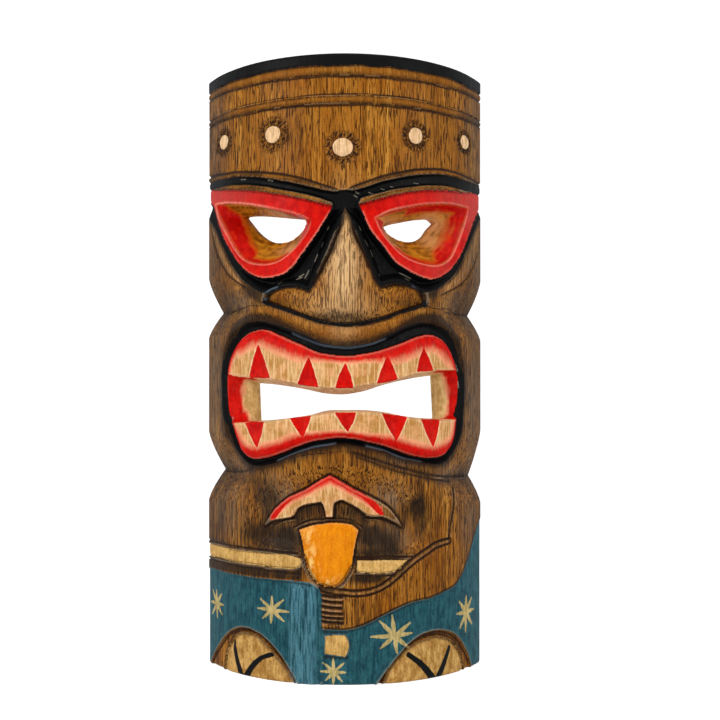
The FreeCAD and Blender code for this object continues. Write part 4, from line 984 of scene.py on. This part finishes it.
def add_mesh(name, points, values, front_faces, back_faces, wall_faces):
    faces = [list(face) for face in front_faces] + back_faces + wall_faces
    kind = np.repeat(["front", "back", "wall"], [len(front_faces), len(back_faces), len(wall_faces)])
    sizes = np.array([len(face) for face in faces])
    corners = np.concatenate([np.asarray(face) for face in faces])
    used, packed = np.unique(corners, return_inverse=True)
    mesh = bpy.data.meshes.new(name)
    mesh.vertices.add(len(used))
    mesh.vertices.foreach_set("co", points[used].astype(np.float32).ravel())
    mesh.loops.add(len(corners))
    mesh.loops.foreach_set("vertex_index", packed.astype(np.int32))
    mesh.polygons.add(len(faces))
    mesh.polygons.foreach_set("loop_start", (np.cumsum(sizes) - sizes).astype(np.int32))
    mesh.update(calc_edges=True)
    for label, field in values.items():
        layer = mesh.attributes.new(label, "FLOAT", "POINT")
        layer.data.foreach_set("value", field[used].astype(np.float32))
    mesh.polygons.foreach_set("use_smooth", kind != "wall")
    mesh.polygons.foreach_set("material_index", (kind == "back").astype(np.int32))

    # the bake's map: the front in the left half, the back in the right half
    x, y, z = points[corners].T / MM
    wide = 2 * angle_at_back(LOG_RADIUS)
    corner_kind = np.repeat(kind, sizes)
    u = 0.004 + 0.49 * (np.arctan2(x, AXIS_Y - y) / wide + 0.5) + 0.502 * (corner_kind == "back")
    uv = np.stack([u, 0.004 + 0.87 * z / TOP], 1)
    uv[corner_kind == "wall"] = wall_places(sizes[kind == "wall"])
    mesh.uv_layers.new(name="OFBake").data.foreach_set("uv", uv.astype(np.float32).ravel())
    mesh.validate()
    return put_in_scene(name, mesh)


mask = add_mesh("carved_and_painted_mask", *mask_mesh())


# ======== materials ========
def colour(red_level, green_level, blue_level):
    """A colour given as it is seen, 0 to 255, as the linear values that nodes take."""
    levels = [value / 255 for value in (red_level, green_level, blue_level)]
    linear = [v / 12.92 if v <= 0.04045 else ((v + 0.055) / 1.055) ** 2.4 for v in levels]
    return (*linear, 1.0)


class Nodes:
    """A short way to write a node tree."""

    def __init__(self, name):
        self.material = bpy.data.materials.new(name)
        self.material.use_nodes = True
        self.tree = self.material.node_tree
        self.tree.nodes.clear()
        output = self.add("ShaderNodeOutputMaterial")
        self.shader = self.add("ShaderNodeBsdfPrincipled")
        self.join(self.shader.outputs[0], output.inputs[0])
        self.place = self.add("ShaderNodeTexCoord").outputs["Object"]

    def add(self, kind, **settings):
        node = self.tree.nodes.new(kind)
        for key, value in settings.items():
            setattr(node, key, value)
        return node

    def join(self, source, target):
        """Links a socket to another, or sets a constant on it."""
        if hasattr(source, "is_output"):
            self.tree.links.new(source, target)
        else:
            target.default_value = source

    def value(self, name):
        return self.add("ShaderNodeAttribute", attribute_name=name).outputs["Fac"]

    def maths(self, operation, a, b, clamp=False):
        node = self.add("ShaderNodeMath", operation=operation, use_clamp=clamp)
        self.join(a, node.inputs[0])
        self.join(b, node.inputs[1])
        return node.outputs[0]

    def times(self, a, b, clamp=False):
        return self.maths("MULTIPLY", a, b, clamp)

    def plus(self, a, b):
        return self.maths("ADD", a, b)

    def less(self, a, b):
        return self.maths("SUBTRACT", a, b)

    def most(self, a, b):
        return self.maths("MAXIMUM", a, b)

    def noise(self, wide, tall, detail=2.0, roughness=0.5, distortion=0.0):
        """Noise with features of about the given width and height in millimetres."""
        mapping = self.add("ShaderNodeMapping")
        self.join(self.place, mapping.inputs["Vector"])
        mapping.inputs["Scale"].default_value = (1 / (wide * MM), 1 / (wide * MM), 1 / (tall * MM))
        node = self.add("ShaderNodeTexNoise")
        self.join(mapping.outputs[0], node.inputs["Vector"])
        node.inputs["Scale"].default_value = 1.0
        node.inputs["Detail"].default_value = detail
        node.inputs["Roughness"].default_value = roughness
        node.inputs["Distortion"].default_value = distortion
        return node.outputs["Fac"]

    def step(self, value, start, stop, at_start=0.0, at_stop=1.0):
        node = self.add("ShaderNodeMapRange", interpolation_type="SMOOTHSTEP", clamp=True)
        for key, source in (("Value", value), ("From Min", start), ("From Max", stop),
                            ("To Min", at_start), ("To Max", at_stop)):
            self.join(source, node.inputs[key])
        return node.outputs[0]

    def blend(self, amount, a, b, kind="MIX"):
        node = self.add("ShaderNodeMix", data_type="RGBA", blend_type=kind)
        self.join(amount, node.inputs["Factor"])
        self.join(a, node.inputs["A"])
        self.join(b, node.inputs["B"])
        return node.outputs["Result"]

    def bump(self, height, strength, reach):
        """Raises the surface's shading by a height, whose full range is a reach in millimetres."""
        node = self.add("ShaderNodeBump")
        node.inputs["Strength"].default_value = strength
        node.inputs["Distance"].default_value = reach * MM
        self.join(height, node.inputs["Height"])
        self.join(node.outputs[0], self.shader.inputs["Normal"])


def wood_tones(n, light, middle, dark, pore, sanded=0.0):
    """Long-grained wood: broad bands, fine fibres and short dark pores along the log.
    Returns the colour, the height of the grain, and where the pores and the long lines lie."""
    streaks = n.noise(1.7, 50, 3, 0.65)
    fibres = n.noise(0.8, 16, 2, 0.6)
    tone = n.plus(n.times(n.noise(10, 170, 3, 0.6, 0.4), 0.5), n.times(streaks, 0.5))
    body = n.blend(n.step(tone, 0.34, 0.5), dark, middle)
    body = n.blend(n.step(tone, 0.5, 0.66), body, light)
    body = n.blend(n.step(fibres, 0.35, 0.7, 0.0, 0.35), body, light)
    rough_part = n.less(1.0, n.times(sanded, 0.8))
    crowd = n.times(n.less(n.noise(5, 50, 1), 0.5), 0.22)
    pores = n.times(n.step(n.plus(n.noise(0.95, 11, 1, 0.4), crowd), 0.54, 0.61), rough_part)
    body = n.blend(n.times(pores, 0.95), body, pore)
    lines = n.times(n.step(n.noise(1.1, 60, 2, 0.6), 0.56, 0.62), rough_part)
    body = n.blend(n.times(lines, 0.65), body, pore)
    return body, n.less(n.times(fibres, 0.3), pores), pores, lines


def painted_wood():
    n = Nodes("stained_and_painted_wood")
    brush = n.noise(1.6, 20, 3, 0.6)
    mottle = n.noise(5, 8, 4, 0.65)
    broad = n.noise(12, 10, 3, 0.6)
    ragged = n.times(n.less(n.noise(2.4, 3.6, 3), 0.5), 1.3)
    swirl, hollow_shade_edge_light = n.value("swirl"), n.value("hollow_shade_edge_light")
    body, grain, pores, lines = wood_tones(n, colour(196, 139, 56), colour(147, 89, 18), colour(104, 59, 8),
                                           colour(52, 25, 2), n.value("sanded"))

    def lay(amount, tint):
        """Lays a colour over what is there."""
        nonlocal body
        body = n.blend(amount, body, tint)

    def painted(name, soft, offset=0.0):
        """Where a paint lies: within its outline, with a slightly ragged edge."""
        return n.step(n.plus(n.value(name), ragged), offset - soft, offset + soft)

    def paint(amount, light, dark, shows_pores):
        """Lays a brushed colour, through which the pores show a little."""
        tone = n.step(n.plus(n.times(brush, 0.5), n.times(mottle, 0.5)), 0.36, 0.64)
        tone = n.blend(tone, dark, light)
        lay(amount, n.blend(n.times(pores, shows_pores), tone, n.blend(0.5, tone, colour(30, 16, 8))))

    # washes of stain, with painted sheen, painted shade and painted highlight laid among them
    lay(n.times(n.value("amber"), n.step(n.noise(20, 30, 2), 0.3, 0.7, 0.3, 1.0)),
        n.blend(0.5, body, colour(152, 84, 0)))
    dark_grain = n.most(n.times(pores, 0.7), n.times(lines, 0.85))
    lay(n.times(n.value("pale"), 0.8), n.blend(dark_grain, colour(230, 192, 140), colour(108, 70, 32)))
    stripes = n.step(n.noise(2.6, 90, 3, 0.6), 0.48, 0.6, 0.0, 0.6)
    lay(n.times(n.value("striped_wood"), stripes, clamp=True), colour(70, 38, 12))
    # grey tones: partly stain, partly painted sheen
    lay(n.times(n.value("grey_sheen_and_stain"), n.step(n.noise(3, 40, 3), 0.35, 0.65, 0.3, 0.9)),
        n.blend(n.times(pores, 0.7), colour(140, 116, 92), colour(56, 42, 34)))
    cloud = n.step(n.noise(9, 26, 4, 0.6), 0.2, 0.6, 0.75, 1.1)
    # dark stain, with painted shade in the grooves, the waists and the hollows
    darkening_amount = n.times(n.value("dark_stain_and_shade"), cloud, clamp=True)
    lay(n.step(darkening_amount, 0.0, 1.0), n.blend(0.1, colour(17, 13, 10), body))
    # painted shade and dark stain in the hollows; lighter edges, partly wear and partly painted highlight
    lay(n.step(hollow_shade_edge_light, 0.12, 0.8, 0.0, 0.75), colour(40, 22, 8))
    lay(n.times(n.step(hollow_shade_edge_light, -0.35, -1.0, 0.0, 0.35), n.less(1.0, darkening_amount)), colour(192, 142, 78))

    # eye sockets: swept honey tones
    in_socket = n.value("golden")
    honey = n.blend(n.step(swirl, -0.45, 0.45), colour(128, 68, 2), colour(194, 124, 26))
    honey = n.blend(n.times(n.step(n.value("socket_red"), 0.02, 0.5), 0.85), honey, colour(196, 78, 6))
    # peach: partly bare wood, partly painted highlight
    peach = n.times(n.value("peach"), n.step(swirl, -0.6, 0.2, 0.6, 1.0))
    lay(in_socket, n.blend(peach, honey, colour(214, 154, 98)))

    # robe, gold parts and stars
    paint(painted("blue", 0.22), colour(47, 99, 107), colour(14, 60, 72), 0.4)
    # painted highlight on the robe's raised fold
    lay(n.times(n.times(n.value("fold"), n.step(brush, 0.35, 0.62)), 0.75), colour(88, 136, 150))
    gold_on = painted("gold", 0.2)
    paint(gold_on, colour(230, 188, 114), colour(184, 140, 70), 0.3)
    lay(n.times(n.times(gold_on, n.value("dull")), n.step(mottle, 0.3, 0.6, 0.75, 0.2)), colour(148, 98, 36))
    specks = n.step(n.noise(1.4, 2.2, 3, 0.7), 0.56, 0.68, 0.0, 0.5)
    lay(n.times(gold_on, specks), colour(128, 84, 30))
    paint(painted("star", 0.25, 0.1), colour(208, 184, 124), colour(160, 144, 92), 0.3)

    # cream teeth with a red blush
    cream_on = painted("cream", 0.2)
    cream = n.blend(n.step(broad, 0.42, 0.58), colour(184, 130, 64), colour(216, 158, 104))
    cream = n.blend(n.step(mottle, 0.4, 0.64, 0.0, 0.7), cream, colour(190, 140, 78))
    cream = n.blend(n.step(brush, 0.44, 0.66, 0.0, 0.7), cream, colour(240, 204, 152))
    on_olive = n.blend(n.step(mottle, 0.35, 0.65), colour(196, 156, 92), colour(232, 198, 138))
    cream = n.blend(n.value("olive"), cream, on_olive)
    # painted highlight along the teeth's edges beside the gaps
    cream = n.blend(n.times(n.value("tooth_edge_highlight"), 0.6), cream, colour(250, 222, 180))
    cream = n.blend(n.step(n.value("blush"), 0.0, 0.3, 0.0, 0.5), cream, colour(250, 160, 128))
    red = n.blend(n.step(mottle, 0.32, 0.66), colour(180, 2, 0), colour(212, 14, 0))
    red = n.blend(n.step(broad, 0.45, 0.65, 0.0, 0.16), red, colour(228, 60, 40))
    streaky = n.plus(n.times(n.less(brush, 0.5), 0.6), n.times(n.less(mottle, 0.5), 0.5))
    flush = n.step(n.plus(n.value("blush"), streaky), 0.15, 0.95)
    lay(cream_on, n.blend(flush, cream, red))

    # red round the eyes and in the sockets
    red_on = painted("red", 0.18)
    # painted sheen over the upper outer frames, and a duller red low on the right frame
    sheen_and_dull_red = n.times(n.value("sheen_and_dull_red"), n.step(brush, 0.35, 0.65, 0.45, 0.75))
    lay(red_on, n.blend(sheen_and_dull_red, red, colour(178, 66, 58)))
    socket_red = n.step(n.plus(n.value("socket_red"), n.times(swirl, 0.4)), 0.4, 1.0)
    lay(n.times(socket_red, in_socket), n.blend(n.step(swirl, -0.5, 0.5, 0.0, 0.7), red, colour(168, 0, 0)))
    # painted highlight along the socket rims and the frames' lower edges
    lay(n.times(n.value("rim_highlight"), n.step(mottle, 0.3, 0.55, 0.5, 1.0)), colour(246, 132, 112))

    # orange mug and pale studs
    orange_on = painted("orange", 0.2)
    paint(orange_on, colour(234, 148, 10), colour(220, 126, 2), 0.12)
    # painted highlight on the mug
    sunlit = n.times(n.value("sunny"), n.step(mottle, 0.42, 0.6))
    lay(n.times(sunlit, orange_on), colour(248, 206, 124))
    paint(painted("disc", 0.2), colour(238, 202, 158), colour(214, 172, 124), 0.5)

    # black, with painted sheen, and chips of which some are painted glints
    black_on = painted("black", 0.3)
    not_black = n.less(1.0, black_on)
    lay(black_on, n.blend(mottle, colour(1, 1, 2), colour(7, 8, 9)))
    lay(n.times(n.value("painted_sheen"), n.times(black_on, 0.55)), colour(112, 126, 140))
    # pale chips and scratches, some of them painted glints on the black
    chips_and_glints_shown = n.times(n.step(n.value("chips_and_glints"), -0.25, 0.2), n.step(mottle, 0.3, 0.5, 0.3, 0.8))
    lay(chips_and_glints_shown, colour(160, 150, 132))

    # painted shade and dark stain in the hollows, lighter edges that are partly wear and partly painted
    # highlight, and fine speckle
    lay(n.times(n.step(hollow_shade_edge_light, 0.25, 0.9, 0.0, 0.55), not_black), colour(40, 18, 8))
    lay(n.times(n.step(hollow_shade_edge_light, -0.5, -1.0, 0.0, 0.12), not_black), colour(255, 226, 190))
    fine = n.step(n.noise(1.1, 1.8, 2, 0.7), 0.38, 0.62)
    lay(n.times(fine, 0.26), n.blend(1.0, body, body, "MULTIPLY"))
    n.join(body, n.shader.inputs["Base Color"])

    n.join(n.step(n.noise(3, 12, 3), 0.3, 0.7, 0.45, 0.6), n.shader.inputs["Roughness"])
    n.shader.inputs["Coat Weight"].default_value = 0.04
    n.shader.inputs["Coat Roughness"].default_value = 0.3
    n.shader.inputs["Specular IOR Level"].default_value = 0.05
    lumps = n.times(n.noise(1.6, 2.2, 3, 0.6), n.times(black_on, 3.5))
    covered = n.most(n.most(black_on, red_on), cream_on)
    bare_grain = n.times(grain, n.less(1.0, n.times(covered, 0.7)))
    n.bump(n.plus(bare_grain, n.plus(lumps, n.times(brush, 0.35))), 0.55, 0.22)
    return n.material


def bare_wood():
    n = Nodes("bare_wood_behind")
    body, grain, _, _ = wood_tones(n, colour(186, 146, 98), colour(168, 124, 76), colour(140, 98, 56),
                                   colour(92, 60, 32))
    gouges = n.noise(7, 34, 3, 0.55)
    body = n.blend(n.step(gouges, 0.35, 0.7, 0.25, 0.0), body, colour(110, 74, 40))
    n.join(body, n.shader.inputs["Base Color"])
    n.shader.inputs["Roughness"].default_value = 0.72
    n.bump(n.plus(n.times(grain, 0.35), gouges), 0.8, 0.8)
    return n.material


def steel(name, tint, rough):
    n = Nodes(name)
    scratches = n.noise(0.5, 6, 3)
    scratched = n.blend(n.step(scratches, 0.35, 0.7, 0.0, 0.5), tint, colour(120, 122, 124))
    n.join(scratched, n.shader.inputs["Base Color"])
    n.shader.inputs["Metallic"].default_value = 1.0
    n.join(n.step(scratches, 0.3, 0.7, rough, rough + 0.15), n.shader.inputs["Roughness"])
    return n.material


mask.data.materials.append(painted_wood())
mask.data.materials.append(bare_wood())
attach(mask, "mask")
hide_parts("carved_mask")

hanger_metal = steel("hanger_steel", colour(196, 198, 202), 0.28)
screw_metal = steel("screw_steel", colour(208, 200, 176), 0.24)
for node, metal in (("hanger_strap", hanger_metal), ("hanger_ring", hanger_metal),
                    ("upper_strap_screw", screw_metal), ("lower_strap_screw", screw_metal)):
    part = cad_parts[node]
    part.data.materials.clear()
    part.data.materials.append(metal)


# ======== stage, light and camera ========
AMBIENT = 0.4
STAGE_GLOW = 0.7
STAGE_DEPTH, STAGE_BEND, STAGE_HEIGHT, STAGE_HALF = 3.0, 0.8, 4.5, 6.0
WHITE = (1, 1, 1, 1)


def looking_rays(tree):
    """1 for rays that only look, from the camera, a mirror or glass, and 0 for the rest."""
    path = tree.nodes.new("ShaderNodeLightPath")
    found = path.outputs["Is Camera Ray"]
    for kind in ("Is Glossy Ray", "Is Transmission Ray"):
        either = tree.nodes.new("ShaderNodeMath")
        either.operation = "MAXIMUM"
        tree.links.new(found, either.inputs[0])
        tree.links.new(path.outputs[kind], either.inputs[1])
        found = either.outputs[0]
    return found


def plain_stage():
    """A floor that rises into a far wall. It is seen as white, and keeps the shadow."""
    profile = [(-4.0, 0.0), (STAGE_DEPTH - STAGE_BEND, 0.0)]
    for number in range(1, 9):
        turn = math.radians(90 * number / 8)
        profile.append((STAGE_DEPTH - STAGE_BEND + STAGE_BEND * math.sin(turn),
                        STAGE_BEND - STAGE_BEND * math.cos(turn)))
    profile.append((STAGE_DEPTH, STAGE_HEIGHT))
    points = [(x, y, z) for y, z in profile for x in (-STAGE_HALF, STAGE_HALF)]
    faces = [(2 * k, 2 * k + 1, 2 * k + 3, 2 * k + 2) for k in range(len(profile) - 1)]
    mesh = bpy.data.meshes.new("stage")
    mesh.from_pydata(points, [], faces)
    for face in mesh.polygons:
        face.use_smooth = True
    n = Nodes("stage_white")
    n.shader.inputs["Base Color"].default_value = colour(232, 232, 232)
    n.shader.inputs["Roughness"].default_value = 0.95
    n.shader.inputs["Specular IOR Level"].default_value = 0.0
    n.shader.inputs["Emission Color"].default_value = WHITE
    n.join(n.times(looking_rays(n.tree), STAGE_GLOW), n.shader.inputs["Emission Strength"])
    mesh.materials.append(n.material)
    stage = put_in_scene("stage", mesh)
    stage.location.z = -0.0004


def studio_world():
    """Seen as white, it lights with a weak bluish light."""
    world = bpy.data.worlds.new("studio")
    world.use_nodes = True
    tree = world.node_tree
    tree.nodes.clear()
    output = tree.nodes.new("ShaderNodeOutputWorld")
    shown = tree.nodes.new("ShaderNodeBackground")
    shown.inputs["Color"].default_value = WHITE
    ambient = tree.nodes.new("ShaderNodeBackground")
    ambient.inputs["Color"].default_value = (0.95, 0.975, 1.0, 1)
    ambient.inputs["Strength"].default_value = AMBIENT
    chosen = tree.nodes.new("ShaderNodeMixShader")
    tree.links.new(looking_rays(tree), chosen.inputs[0])
    tree.links.new(ambient.outputs[0], chosen.inputs[1])
    tree.links.new(shown.outputs[0], chosen.inputs[2])
    tree.links.new(chosen.outputs[0], output.inputs[0])
    bpy.context.scene.world = world


def softbox(name, place, width, height, watts, tint=(1, 1, 1)):
    """A rectangular light that faces the middle of the mask."""
    data = bpy.data.lights.new(name, "AREA")
    data.shape = "RECTANGLE"
    data.size, data.size_y, data.energy, data.color = width, height, watts, tint
    lamp = put_in_scene(name, data)
    lamp.location = place
    direction = Vector((0, 0, TOP / 2 * MM)) - Vector(place)
    lamp.rotation_euler = direction.to_track_quat("-Z", "Y").to_euler()


plain_stage()
studio_world()
softbox("key", (-1.15, -1.0, 0.8), 0.75, 0.75, 12)
softbox("fill", (1.2, -0.95, 0.6), 0.75, 0.75, 8)
softbox("top", (0.1, -0.7, 1.5), 0.5, 0.5, 4)
softbox("low", (-0.1, -1.2, 0.02), 0.8, 0.25, 2.5)
softbox("left_strip", (-0.95, 0.35, 0.35), 0.3, 1.1, 1.6, (0.88, 0.94, 1))
softbox("right_strip", (0.95, 0.35, 0.35), 0.3, 1.1, 1.6, (0.88, 0.94, 1))

camera = put_in_scene("camera", bpy.data.cameras.new("camera"))
camera.location = (0.0, -0.796, 0.221)
camera.rotation_euler = (math.radians(90.0), 0, 0)
camera.data.lens = 48.2
camera.data.shift_x = 0.0212
camera.data.shift_y = 0.0640
bpy.context.scene.camera = camera
bpy.context.scene.view_settings.view_transform = "Standard"
